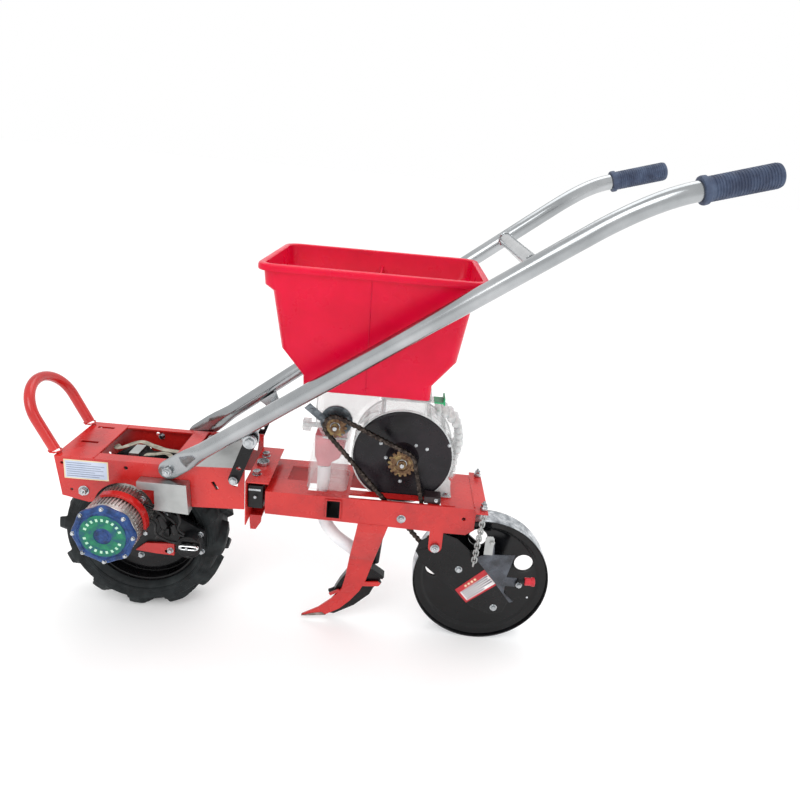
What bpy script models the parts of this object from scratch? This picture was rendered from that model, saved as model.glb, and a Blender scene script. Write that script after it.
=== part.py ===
"""Push seeder: motor-driven front wheel, hopper with seed and fertiliser meters, opener and press wheel.

Metres, +X towards the operator, +Y to the machine's right, +Z up, ground at z = 0.
The sizes below are measured from the front axle; SHIFT_X moves the whole machine so that
the middle of its length is at x = 0.
"""
import math

import bmesh
import bpy
from mathutils import Vector

for old in list(bpy.data.objects):
    bpy.data.objects.remove(old, do_unlink=True)

# ---- overall ----
GAP = 0.0003                 # clearance between pieces that touch
SHIFT_X = -0.3838

# ---- front wheel ----
TYRE_R = 0.1645              # over the lugs, and height of the axle
LUG_H = 0.0135
TYRE_W = 0.086
LUGS_PER_SIDE = 12
BEAD_R = 0.111
AXLE_R = 0.010

# ---- front chassis ----
CH_FRONT_X = -0.1387
CH_REAR_X = 0.2120
CH_TOP_Z = 0.3465
CH_HALF_W = 0.0755
SHEET = 0.003

# ---- handles ----
PIVOT_X = 0.0746
PIVOT_Z = 0.3404
PIVOT_R = 0.0050
PIVOT_HEAD_R = 0.0090
PIVOT_Y = CH_HALF_W + 0.0054
BEND_Z = 0.8815              # height at which the handles bend level
HANDLE_SLOPE = 0.75163       # rise for each metre towards the operator
HANDLE_SPLAY = 0.19257       # spread of each handle for each metre of rise
BEND_X = PIVOT_X + (BEND_Z - PIVOT_Z) / HANDLE_SLOPE
BEND_Y = PIVOT_Y + (BEND_Z - PIVOT_Z) * HANDLE_SPLAY
BEND = (BEND_X, BEND_Y, BEND_Z)
GRIP_START = (BEND_X + 0.0765, BEND_Y + 0.0170, BEND_Z + 0.0329)
GRIP_END = (GRIP_START[0] + 0.0980, GRIP_START[1], GRIP_START[2] + 0.0288)
TUBE_R = 0.015
TUBE_WALL = 0.0022
GRIP_R = TUBE_R + 0.0028
COLLAR_R = GRIP_R + 0.0030
CROSSBAR_R = 0.0125
TILT_SLOT_DEG = 8.0
HANDLE_RUN = math.hypot(BEND_X - PIVOT_X, BEND_Z - PIVOT_Z)
HANDLE_DX = (BEND_X - PIVOT_X) / HANDLE_RUN
HANDLE_DZ = (BEND_Z - PIVOT_Z) / HANDLE_RUN

# ---- struts that hold the handles ----
STRUT_S = 0.1676             # distance of the top bolt from the pivot, along the handle
STRUT_DROP = TUBE_R + 0.01345
STRUT_LOW = (0.1968, 0.3377)
STRUT_TOP = (
    PIVOT_X + HANDLE_DX * STRUT_S + HANDLE_DZ * STRUT_DROP,
    PIVOT_Z + HANDLE_DZ * STRUT_S - HANDLE_DX * STRUT_DROP,
)
STRUT_HALF = 0.0105
STRUT_Y0 = CH_HALF_W + 0.0110
STRUT_Y1 = STRUT_Y0 + 0.0050
BOLT_R = 0.0045              # struts and the handle tabs
BOLT_HOLE_R = BOLT_R + GAP

# ---- motor ----
MOTOR_X = -0.0140
MOTOR_Z = 0.2433
MOTOR_R = 0.054
MOTOR_Y0 = -0.1480
MOTOR_Y1 = -0.0590

# ---- hitch ----
KING_X = 0.2290
KING_R = 0.0078

# ---- rear beam ----
BEAM_X0 = 0.2490
BEAM_X1 = 0.6470
BEAM_TOP = 0.3045
BEAM_HALF = 0.0660
EAR_X = 0.5770
EAR_Z = 0.2159
SOCKET_X0 = 0.3630
SOCKET_X1 = 0.3930
SOCKET_Z0 = 0.2590
SOCKET_Z1 = 0.3000
SHAFT_R = 0.0050

# ---- metering ----
SEED_X = 0.4993
SEED_Z = 0.3804
DISC_R = 0.0940
HOUSING_R = 0.0970
FERT_X = 0.3714
FERT_Z = 0.4434
PITCH = 0.009525
CHAIN_Y0 = -0.0585
CHAIN_Y1 = -0.0515

# ---- hopper ----
HOPPER_X = 0.4247
HOPPER_Z0 = 0.5155
RIM_Z = 0.7450
RIM_HX = 0.1875
RIM_HY = 0.1290

# ---- press wheel ----
PRESS_X = 0.6763
PRESS_Z = 0.1347
PRESS_R = 0.1347
PRESS_Y0 = -0.0490
PRESS_Y1 = -0.0040
PRESS_AXLE_R = 0.0080
WINDOW_ANGLES = (27.0, 99.0, 171.0)
WINDOW_AT = 0.0925
WINDOW_R = 0.0185


def collection(name, hidden=False):
    made = bpy.data.collections.new(name)
    bpy.context.scene.collection.children.link(made)
    made.hide_render = hidden
    return made


PARTS = collection("push_seeder")
CUTTERS = collection("cutters", True)
MATERIALS = {}


def material(name, rgb, metallic=0.0, rough=0.5, alpha=1.0):
    if name not in MATERIALS:
        mat = bpy.data.materials.new(name)
        mat.use_nodes = True
        shader = mat.node_tree.nodes["Principled BSDF"]
        shader.inputs["Base Color"].default_value = (rgb[0], rgb[1], rgb[2], 1.0)
        shader.inputs["Metallic"].default_value = metallic
        shader.inputs["Roughness"].default_value = rough
        shader.inputs["Alpha"].default_value = alpha
        MATERIALS[name] = mat
    return MATERIALS[name]


def red():
    return material("red_enamel", (0.62, 0.035, 0.025), 0.0, 0.35)


def black():
    return material("black_enamel", (0.015, 0.015, 0.018), 0.0, 0.4)


def zinc():
    return material("zinc_plate", (0.62, 0.63, 0.64), 1.0, 0.32)


def clear():
    return material("clear_plastic", (0.85, 0.87, 0.87), 0.0, 0.2, 0.45)


def finish(name, bm, mat, origin=(0.0, 0.0, 0.0), helper=False):
    """Object from a bmesh in machine coordinates, with its origin at the point given."""
    bmesh.ops.remove_doubles(bm, verts=bm.verts, dist=1e-7)
    bmesh.ops.recalc_face_normals(bm, faces=bm.faces)
    bmesh.ops.translate(bm, verts=bm.verts, vec=-Vector(origin))
    mesh = bpy.data.meshes.new(name)
    bm.to_mesh(mesh)
    bm.free()
    if mat is not None:
        mesh.materials.append(mat)
    obj = bpy.data.objects.new(name, mesh)
    obj.location = Vector(origin) + Vector((SHIFT_X, 0.0, 0.0))
    (CUTTERS if helper else PARTS).objects.link(obj)
    if helper:
        obj.hide_render = True
        obj.display_type = "WIRE"
    return obj


def add_prism(bm, points, y0, y1):
    """Closed prism along Y from a list of (x, z) points."""
    near = [bm.verts.new((x, y0, z)) for x, z in points]
    far = [bm.verts.new((x, y1, z)) for x, z in points]
    bm.faces.new(near)
    bm.faces.new(list(reversed(far)))
    count = len(points)
    for i in range(count):
        j = (i + 1) % count
        bm.faces.new((near[i], far[i], far[j], near[j]))


def add_box(bm, x0, x1, y0, y1, z0, z1):
    add_prism(bm, [(x0, z0), (x1, z0), (x1, z1), (x0, z1)], y0, y1)


def ring(cx, cz, r, count, start=0.0):
    return [
        (cx + r * math.cos(start + 2 * math.pi * i / count), cz + r * math.sin(start + 2 * math.pi * i / count))
        for i in range(count)
    ]


def add_cyl(bm, cx, cz, r, y0, y1, count=32):
    add_prism(bm, ring(cx, cz, r, count), y0, y1)


def add_loft(bm, loops, closed=False, caps=True):
    """Skin between point loops of equal length; closed joins the last loop to the first."""
    rows = [[bm.verts.new(p) for p in loop] for loop in loops]
    pairs = list(zip(rows, rows[1:]))
    if closed:
        pairs.append((rows[-1], rows[0]))
    for a, b in pairs:
        count = len(a)
        for i in range(count):
            j = (i + 1) % count
            bm.faces.new((a[i], a[j], b[j], b[i]))
    if caps and not closed:
        bm.faces.new(list(reversed(rows[0])))
        bm.faces.new(rows[-1])


def lathe_loops(profile, centre, axis, count):
    """Loops of a turned shape. Each profile point is (radius, distance along the axis)."""
    axis = Vector(axis).normalized()
    side = axis.orthogonal().normalized()
    if abs(axis.y) > 0.99:
        side = Vector((1.0, 0.0, 0.0))
    if abs(axis.z) > 0.99:
        side = Vector((1.0, 0.0, 0.0))
    other = axis.cross(side)
    loops = []
    for r, s in profile:
        mid = Vector(centre) + axis * s
        loop = []
        for i in range(count):
            a = 2 * math.pi * i / count
            loop.append(mid + (side * math.cos(a) + other * math.sin(a)) * max(r, 1e-9))
        loops.append(loop)
    return loops


def add_turned(bm, profile, centre, axis, count=32, closed=False):
    """Solid or ring turned about an axis. An open profile starts and ends with flat caps."""
    add_loft(bm, lathe_loops(profile, centre, axis, count), closed=closed)


def add_tube(bm, path, radius, count=16, section=None):
    """Round bar along a path of points; section may give (half height, half width) per point."""
    points = [Vector(p) for p in path]
    loops = []
    up = Vector((0.0, 1.0, 0.0))
    for i, p in enumerate(points):
        before = points[max(i - 1, 0)]
        after = points[min(i + 1, len(points) - 1)]
        along = (after - before).normalized()
        wide = (up - along * up.dot(along)).normalized()
        tall = along.cross(wide)
        high, broad = section[i] if section else (radius, radius)
        loop = []
        for k in range(count):
            a = 2 * math.pi * k / count
            loop.append(p + tall * high * math.cos(a) + wide * broad * math.sin(a))
        loops.append(loop)
    add_loft(bm, loops)


def boolean(obj, other, operation):
    mod = obj.modifiers.new(operation.lower() + "_" + other.name, "BOOLEAN")
    mod.operation = operation
    mod.solver = "EXACT"
    mod.object = other


def cut(obj, build):
    """Take away the shape that build(bm) makes."""
    bm = bmesh.new()
    build(bm)
    helper = finish(obj.name + "_cut" + str(len(obj.modifiers)), bm, None, helper=True)
    boolean(obj, helper, "DIFFERENCE")


def join(obj, build):
    """Weld on the shape that build(bm) makes."""
    bm = bmesh.new()
    build(bm)
    helper = finish(obj.name + "_add" + str(len(obj.modifiers)), bm, None, helper=True)
    boolean(obj, helper, "UNION")


def arc(cx, cz, r, a0, a1, steps):
    return [
        (
            cx + r * math.cos(math.radians(a0 + (a1 - a0) * i / steps)),
            cz + r * math.sin(math.radians(a0 + (a1 - a0) * i / steps)),
        )
        for i in range(steps + 1)
    ]


def rounded_rect(cx, hx, hy, r, z, steps=4):
    loop = []
    for sx, sy, start in ((1, 1, 0), (-1, 1, 90), (-1, -1, 180), (1, -1, 270)):
        for i in range(steps + 1):
            a = math.radians(start + 90.0 * i / steps)
            loop.append((cx + sx * (hx - r) + r * math.cos(a), sy * (hy - r) + r * math.sin(a), z))
    return loop


# ================= front unit =================


def chassis():
    notch_r = MOTOR_R + 0.004
    outline = [(CH_FRONT_X, CH_TOP_Z), (-0.1290, 0.2700), (-0.1290, 0.2660), (MOTOR_X - notch_r - 0.0077, 0.2553)]
    outline += arc(MOTOR_X, MOTOR_Z, notch_r, 166.0, 20.0, 18)
    outline += [(MOTOR_X + notch_r + 0.0025, 0.2610), (CH_REAR_X, 0.2680), (CH_REAR_X, 0.3520), (0.0980, CH_TOP_Z)]
    bm = bmesh.new()
    add_prism(bm, outline, -CH_HALF_W, CH_HALF_W)
    body = finish("chassis", bm, red())
    inner = CH_HALF_W - SHEET
    floor_z = CH_TOP_Z - SHEET

    def hollow(b):
        points = [(CH_FRONT_X + 0.0035, floor_z), (0.0980, floor_z), (0.0980, 0.40), (0.26, 0.40)]
        points += [(0.26, 0.20), (-0.1255, 0.20), (-0.1255, 0.2700)]
        add_prism(b, points, -inner, inner)

    cut(body, hollow)
    cut(body, lambda b: add_box(b, -0.1600, -0.1000, -inner, inner, 0.20, 0.2880))

    def top_openings(b):
        add_box(b, -0.0660, 0.0700, -0.0520, 0.0620, 0.30, 0.38)
        add_box(b, -0.1210, -0.0880, -0.0155, -0.0085, 0.30, 0.38)
        add_box(b, -0.1210, -0.0880, 0.0500, 0.0570, 0.30, 0.38)

    cut(body, top_openings)

    def wall_holes(b):
        add_cyl(b, PIVOT_X, PIVOT_Z, PIVOT_R + GAP, -0.10, 0.10)
        for x, z, r in ((-0.0072, 0.3330, 0.0040), (-0.1250, 0.3330, 0.0030), (-0.1101, 0.2790, 0.0030)):
            add_cyl(b, x, z, r, -0.10, 0.10, 16)
        slot = [(0.1500, 0.3190), (0.1555, 0.3215), (0.1650, 0.3060), (0.1595, 0.3035)]
        add_prism(b, slot, -0.10, 0.10)

    cut(body, wall_holes)

    def tilt_slot(b):
        dx = STRUT_LOW[0] - PIVOT_X
        dz = STRUT_LOW[1] - PIVOT_Z
        mid = math.hypot(dx, dz)
        a0 = math.degrees(math.atan2(dz, dx)) + 3.0
        a1 = math.degrees(math.atan2(dz, dx)) - TILT_SLOT_DEG - 3.0
        outer = arc(PIVOT_X, PIVOT_Z, mid + BOLT_R + 0.0005, a0, a1, 10)
        inner_arc = arc(PIVOT_X, PIVOT_Z, mid - BOLT_R - 0.0005, a1, a0, 10)
        add_prism(b, outer + inner_arc, -0.10, 0.10)

    cut(body, tilt_slot)


def front_hoop():
    base = Vector((-0.1430, 0.0, 0.3518))
    lean = Vector((-0.0600, 0.0, 0.1155)).normalized()
    half = 0.0630
    leg = 0.0640
    path = [base + Vector((0.0, -half, 0.0)), base + Vector((0.0, -half, 0.0)) + lean * leg * 0.5]
    for i in range(13):
        a = math.pi - math.pi * i / 12
        path.append(base + lean * (leg + half * math.sin(a)) + Vector((0.0, half * math.cos(a), 0.0)))
    path += [base + Vector((0.0, half, 0.0)) + lean * leg * 0.5, base + Vector((0.0, half, 0.0))]
    loops = []
    flat = lean.cross(Vector((0.0, 1.0, 0.0)))
    for i, p in enumerate(path):
        along = (path[min(i + 1, len(path) - 1)] - path[max(i - 1, 0)]).normalized()
        other = along.cross(flat)
        loop = []
        for k in range(12):
            a = 2 * math.pi * k / 12
            loop.append(p + (flat * math.cos(a) + other * math.sin(a)) * 0.0095)
        loops.append(loop)
    bm = bmesh.new()
    add_loft(bm, loops)
    finish("front_hoop", bm, red())


def rear_guard():
    bm = bmesh.new()
    inner = CH_HALF_W - SHEET - 0.0010
    add_box(bm, 0.1010, 0.1860, -inner, inner, 0.3400, 0.3425)
    finish("rear_guard", bm, zinc())


def hitch_bracket():
    half = CH_HALF_W - 0.0040
    bm = bmesh.new()
    x0 = CH_REAR_X + GAP
    add_prism(bm, [(x0, 0.2320), (x0 + 0.0022, 0.2320), (x0 + 0.0022, 0.3220), (0.2560, 0.3220),
                   (0.2560, 0.3250), (x0, 0.3250)], -half, half)
    body = finish("hitch_bracket", bm, red())
    join(body, lambda b: add_box(b, x0 + 0.0010, 0.2380, -0.0400, 0.0400, 0.2320, 0.2350))
    lug = [(x0 + 0.0004, 0.2335), (0.2370, 0.2335), (0.2355, 0.2190), (0.2256, 0.2020), (0.2150, 0.2020)]
    join(body, lambda b: add_prism(b, lug, -0.0385, -0.0345))
    cut(body, lambda b: add_turned(b, [(KING_R + GAP, 0.20), (KING_R + GAP, 0.36)], (KING_X, 0, 0), (0, 0, 1)))


def kingpin():
    bm = bmesh.new()
    profile = [(0.0120, 0.2240), (0.0120, 0.2316), (KING_R, 0.2316), (KING_R, 0.3254), (0.0120, 0.3254),
               (0.0120, 0.3320)]
    add_turned(bm, profile, (KING_X, 0, 0), (0, 0, 1), 24)
    finish("kingpin", bm, zinc())


def gearbox():
    outline = [(-0.0400, 0.1700), (-0.0480, 0.2050), (-0.0520, 0.2650), (-0.0140, 0.2960), (0.0300, 0.2900),
               (0.0580, 0.2400), (0.1310, 0.2000), (0.1330, 0.1600), (0.1070, 0.1480), (0.0600, 0.1460),
               (0.0, 0.1280), (-0.0300, 0.1400)]
    bm = bmesh.new()
    add_prism(bm, list(reversed(outline)), -0.0585, -0.0475)
    body = finish("gearbox", bm, material("cast_black", (0.02, 0.02, 0.022), 0.0, 0.55))
    join(body, lambda b: add_cyl(b, 0.0, TYRE_R, 0.0300, -0.0560, -0.0390))
    join(body, lambda b: add_cyl(b, 0.1070, 0.1760, 0.0240, -0.0780, -0.0560))
    cut(body, lambda b: add_cyl(b, 0.0, TYRE_R, AXLE_R + GAP, -0.0500, -0.0200))


def motor_casing():
    count = 40
    points = []
    for i in range(count):
        base = 2 * math.pi * i / count
        for step, r in ((0.00, MOTOR_R), (0.22, MOTOR_R), (0.34, MOTOR_R - 0.005), (0.88, MOTOR_R - 0.005)):
            a = base + step * 2 * math.pi / count
            points.append((MOTOR_X + r * math.cos(a), MOTOR_Z + r * math.sin(a)))
    bm = bmesh.new()
    add_prism(bm, points, MOTOR_Y0, MOTOR_Y1)
    finish("motor_casing", bm, material("bare_aluminium", (0.55, 0.56, 0.58), 1.0, 0.42))


def motor_cap():
    bm = bmesh.new()
    points = ring(MOTOR_X, MOTOR_Z, MOTOR_R + 0.0045, 8, math.radians(22.5))
    add_prism(bm, points, MOTOR_Y0 - 0.0110, MOTOR_Y0 - GAP)
    body = finish("motor_cap", bm, material("cap_blue", (0.02, 0.10, 0.36), 0.0, 0.4))
    mod = body.modifiers.new("edge", "BEVEL")
    mod.width = 0.003
    mod.segments = 2
    mod.limit_method = "ANGLE"


def motor_strap():
    r = MOTOR_R + 0.0005
    points = arc(MOTOR_X, MOTOR_Z, r + 0.0050, 112.0, -8.0, 20) + arc(MOTOR_X, MOTOR_Z, r, -8.0, 112.0, 20)
    bm = bmesh.new()
    add_prism(bm, points, -0.1180, -0.1040)
    finish("motor_strap", bm, red())


def drive_cover():
    outer = [(0.0200, 0.3195), (0.1110, 0.3195), (0.1147, 0.2595), (0.0485, 0.2640), (0.0520, 0.2700),
             (0.0520, 0.3040), (0.0200, 0.3040)]
    bm = bmesh.new()
    add_prism(bm, outer, -0.0960, -CH_HALF_W - 0.0008)
    body = finish("drive_cover", bm, zinc())
    inner = [(0.0215, 0.3180), (0.1096, 0.3180), (0.1130, 0.2570), (0.0535, 0.2600), (0.0535, 0.3055),
             (0.0215, 0.3055)]
    cut(body, lambda b: add_prism(b, inner, -0.0945, -0.0600))


def motor_shelf():
    outline = [(-0.0010, 0.1500), (0.0200, 0.1680), (0.0746, 0.1709), (0.0741, 0.1448), (0.0400, 0.1460)]
    bm = bmesh.new()
    add_prism(bm, outline, -0.0640, -0.0590)
    finish("motor_shelf", bm, red())


def far_fork():
    outline = [(-0.0240, 0.3300), (-0.0240, 0.2600), (-0.0200, 0.1560), (-0.0110, 0.1440), (0.0110, 0.1440),
               (0.0200, 0.1560), (0.0240, 0.2600), (0.0240, 0.3300)]
    bm = bmesh.new()
    add_prism(bm, outline, CH_HALF_W + GAP, CH_HALF_W + 0.0053)
    body = finish("far_fork", bm, red())
    cut(body, lambda b: add_cyl(b, 0.0, TYRE_R, AXLE_R + GAP, 0.05, 0.10))


def tyre():
    """Casing profile swept round the axle, raised into slanting lugs on alternate sides."""
    half = TYRE_W / 2
    base_r = TYRE_R - LUG_H
    side = [(-half * 0.62, BEAD_R), (-half * 0.82, BEAD_R + 0.004), (-half * 0.98, BEAD_R + 0.018),
            (-half, base_r - 0.011), (-half * 0.90, base_r - 0.003), (-half * 0.45, base_r),
            (-half * 0.08, base_r + 0.0015)]
    profile = side + [(-y, r) for y, r in reversed(side)]
    inner = [(half * 0.62, BEAD_R), (half * 0.50, BEAD_R + 0.006), (half * 0.78, base_r - 0.018),
             (-half * 0.78, base_r - 0.018), (-half * 0.50, BEAD_R + 0.006)]
    closed = profile + inner[1:]
    steps_per_lug = 6
    steps = LUGS_PER_SIDE * steps_per_lug
    lug_rows = {3: 0.35, 4: 1.0, 5: 1.0, 6: 1.0}
    last = len(profile) - 1
    bm = bmesh.new()
    loops = []
    for i in range(steps):
        a = 2 * math.pi * i / steps
        loop = []
        for j, (y, r) in enumerate(closed):
            row = j if j <= 6 else last - j
            near_side = j <= 6
            lift = 0.0
            if j <= last and row in lug_rows:
                lag = {3: 0, 4: 0, 5: 1, 6: 1}[row]
                phase = (i + lag + (0 if near_side else steps_per_lug // 2)) % steps_per_lug
                if phase < 3:
                    lift = lug_rows[row]
            top = TYRE_R if row > 3 else r + LUG_H * 0.35
            rr = r + (top - r) * lift if lift else r
            loop.append((rr * math.cos(a), y, TYRE_R + rr * math.sin(a)))
        loops.append(loop)
    add_loft(bm, loops, closed=True)
    finish("tyre", bm, material("tyre_rubber", (0.018, 0.018, 0.02), 0.0, 0.8), (0.0, 0.0, TYRE_R))


def front_rim():
    r = BEAD_R - GAP
    bore = AXLE_R + GAP
    profile = [(r, -0.0265), (r, 0.0265), (r - 0.004, 0.0265), (r - 0.004, -0.004), (0.0950, -0.0070),
               (0.0500, -0.0070), (0.0300, 0.0020), (0.0300, 0.0380), (bore, 0.0380), (bore, -0.0380),
               (0.0300, -0.0380), (0.0300, -0.0080), (0.0500, -0.0110), (0.0960, -0.0110), (r - 0.004, -0.0085),
               (r - 0.004, -0.0265)]
    bm = bmesh.new()
    add_turned(bm, profile, (0, 0, TYRE_R), (0, 1, 0), 36, closed=True)
    finish("front_rim", bm, black(), (0.0, 0.0, TYRE_R))


def front_axle():
    profile = [(AXLE_R, -0.0485), (AXLE_R, 0.0812), (0.0150, 0.0812), (0.0150, 0.0890), (0.0060, 0.0892),
               (0.0060, 0.0940)]
    bm = bmesh.new()
    add_turned(bm, profile, (0, 0, TYRE_R), (0, 1, 0), 24)
    finish("front_axle", bm, zinc(), (0.0, 0.0, TYRE_R))


# ================= handles =================


def handle(name, side):
    start = Vector((PIVOT_X, side * PIVOT_Y, PIVOT_Z))
    bend = Vector((BEND[0], side * BEND[1], BEND[2]))
    grip0 = Vector((GRIP_START[0], side * GRIP_START[1], GRIP_START[2]))
    grip1 = Vector((GRIP_END[0], side * GRIP_END[1], GRIP_END[2]))
    along = (bend - start).normalized()
    out = (grip1 - grip0).normalized()
    path = []
    section = []
    for t, high, broad in ((-0.0190, 0.0080, 0.0024), (-0.0150, 0.0135, 0.0028), (-0.0080, 0.0180, 0.0034),
                           (0.0, 0.0195, 0.0036), (0.0350, 0.0195, 0.0037), (0.0520, 0.0185, 0.0075),
                           (0.0700, 0.0163, 0.0125), (0.0850, TUBE_R, TUBE_R)):
        path.append(start + along * t)
        section.append((high, broad))
    length = (bend - start).length
    for t in (0.30, 0.55, length - 0.070):
        path.append(start + along * t)
        section.append((TUBE_R, TUBE_R))
    p0 = start + along * (length - 0.070)
    p3 = grip0 - out * 0.006
    p1 = p0 + along * 0.050
    p2 = p3 - out * 0.045
    for i in range(1, 7):
        u = i / 6
        path.append(p0 * (1 - u) ** 3 + p1 * 3 * u * (1 - u) ** 2 + p2 * 3 * u * u * (1 - u) + p3 * u ** 3)
        section.append((TUBE_R, TUBE_R))
    path.append(grip0 + out * 0.100)
    section.append((TUBE_R, TUBE_R))
    bm = bmesh.new()
    add_tube(bm, path, TUBE_R, 14, section)
    body = finish(name, bm, zinc(), (PIVOT_X, 0.0, PIVOT_Z))
    bore = path[7:-1] + [grip0 + out * 0.120]
    cut(body, lambda b: add_tube(b, bore, TUBE_R - TUBE_WALL, 12))

    def under_tube(rows):
        """Outline beside the tube from (distance along it, distance above its middle)."""
        return [(PIVOT_X + HANDLE_DX * s - HANDLE_DZ * n, PIVOT_Z + HANDLE_DZ * s + HANDLE_DX * n) for s, n in rows]

    # flat tab for the strut bolt, and the weld that carries it across to the tube
    edge = -STRUT_DROP
    tab = under_tube([(STRUT_S - 0.0176, -0.0050), (STRUT_S - 0.0116, edge - 0.0016), (STRUT_S - 0.0036, edge - 0.0116),
                      (STRUT_S + 0.0084, edge - 0.0116), (STRUT_S + 0.0164, edge - 0.0016),
                      (STRUT_S + 0.0224, -0.0050)])
    weld = under_tube([(STRUT_S - 0.0120, -0.0030), (STRUT_S - 0.0100, -0.0110), (STRUT_S + 0.0140, -0.0110),
                       (STRUT_S + 0.0160, -0.0030)])
    tab_y = (STRUT_Y0 - GAP, STRUT_Y0 - GAP - 0.0040)
    tube_y = PIVOT_Y + (BEND_Y - PIVOT_Y) * STRUT_S / HANDLE_RUN
    y = sorted(side * v for v in tab_y)
    weld_y = sorted((side * (tab_y[1] + 0.0010), side * tube_y))
    join(body, lambda b: add_prism(b, tab, y[0], y[1]))
    join(body, lambda b: add_prism(b, weld, weld_y[0], weld_y[1]))
    pivot_y = sorted((side * (PIVOT_Y - 0.020), side * (PIVOT_Y + 0.030)))

    def bores(b):
        add_cyl(b, PIVOT_X, PIVOT_Z, PIVOT_R + GAP, pivot_y[0], pivot_y[1])
        add_cyl(b, STRUT_TOP[0], STRUT_TOP[1], BOLT_HOLE_R, y[0] - 0.004, y[1] + 0.004)

    cut(body, bores)


def crossbar():
    bm = bmesh.new()
    t = 0.8235
    x = PIVOT_X + (BEND[0] - PIVOT_X) * t
    z = PIVOT_Z + (BEND[2] - PIVOT_Z) * t
    y = PIVOT_Y + (BEND[1] - PIVOT_Y) * t - TUBE_R - 0.0022
    inner = CROSSBAR_R - 0.0020
    profile = [(CROSSBAR_R, -y), (CROSSBAR_R, y), (inner, y), (inner, -y)]
    add_turned(bm, profile, (x, 0, z), (0, 1, 0), 20, closed=True)
    finish("crossbar", bm, zinc(), (PIVOT_X, 0.0, PIVOT_Z))


def grip(name, side):
    p0 = Vector((GRIP_START[0], side * GRIP_START[1], GRIP_START[2]))
    p1 = Vector((GRIP_END[0], side * GRIP_END[1], GRIP_END[2]))
    length = (p1 - p0).length + 0.006
    inner = TUBE_R + 0.0008
    profile = [(inner, 0.0), (COLLAR_R - 0.0003, 0.0), (COLLAR_R, 0.0030), (COLLAR_R - 0.0003, 0.0070), (GRIP_R, 0.0100),
               (GRIP_R, length - 0.004), (GRIP_R - 0.004, length), (0.0030, length), (0.0030, length - 0.005),
               (inner, length - 0.005)]
    bm = bmesh.new()
    add_turned(bm, profile, p0, p1 - p0, 16, closed=True)
    finish(name, bm, material("grip_rubber", (0.09, 0.11, 0.15), 0.0, 0.7), (PIVOT_X, 0.0, PIVOT_Z))


def strut(name, side):
    low = Vector((STRUT_LOW[0], 0, STRUT_LOW[1]))
    top = Vector((STRUT_TOP[0], 0, STRUT_TOP[1]))
    d = (top - low).normalized()
    n = Vector((-d.z, 0, d.x))
    points = []
    for centre, a0 in ((top, 0.0), (low, math.pi)):
        for i in range(9):
            a = a0 + math.pi * i / 8
            p = centre - n * STRUT_HALF * math.cos(a) + d * STRUT_HALF * math.sin(a)
            points.append((p.x, p.z))
    y = sorted((side * STRUT_Y0, side * STRUT_Y1))
    bm = bmesh.new()
    add_prism(bm, points, y[0], y[1])
    body = finish(name, bm, black(), (PIVOT_X, 0.0, PIVOT_Z))
    spare = low + d * 0.0240

    def bores(b):
        for p in (low, top, spare):
            add_cyl(b, p.x, p.z, BOLT_HOLE_R, y[0] - 0.01, y[1] + 0.01, 24)

    cut(body, bores)


def through_bolt(name, x, z, r, reach, head_r, head_t, origin):
    """One long bolt across the machine: head, shank and nut as a single turned piece."""
    profile = [(head_r, -reach - head_t), (head_r, -reach), (r, -reach), (r, reach), (head_r, reach),
               (head_r, reach + head_t)]
    bm = bmesh.new()
    add_turned(bm, profile, (x, 0, z), (0, 1, 0), 16)
    finish(name, bm, zinc(), origin)


# ================= rear frame =================


RAIL_LOW_FRONT = 0.2570
RAIL_LOW_REAR = 0.2490
EAR_R = 0.0130


def rail_bottom(x):
    """Height of the rail's lower edge between its front end and the ear."""
    share = (x - BEAM_X0) / (EAR_X - EAR_R - BEAM_X0)
    return RAIL_LOW_FRONT + (RAIL_LOW_REAR - RAIL_LOW_FRONT) * share


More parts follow.
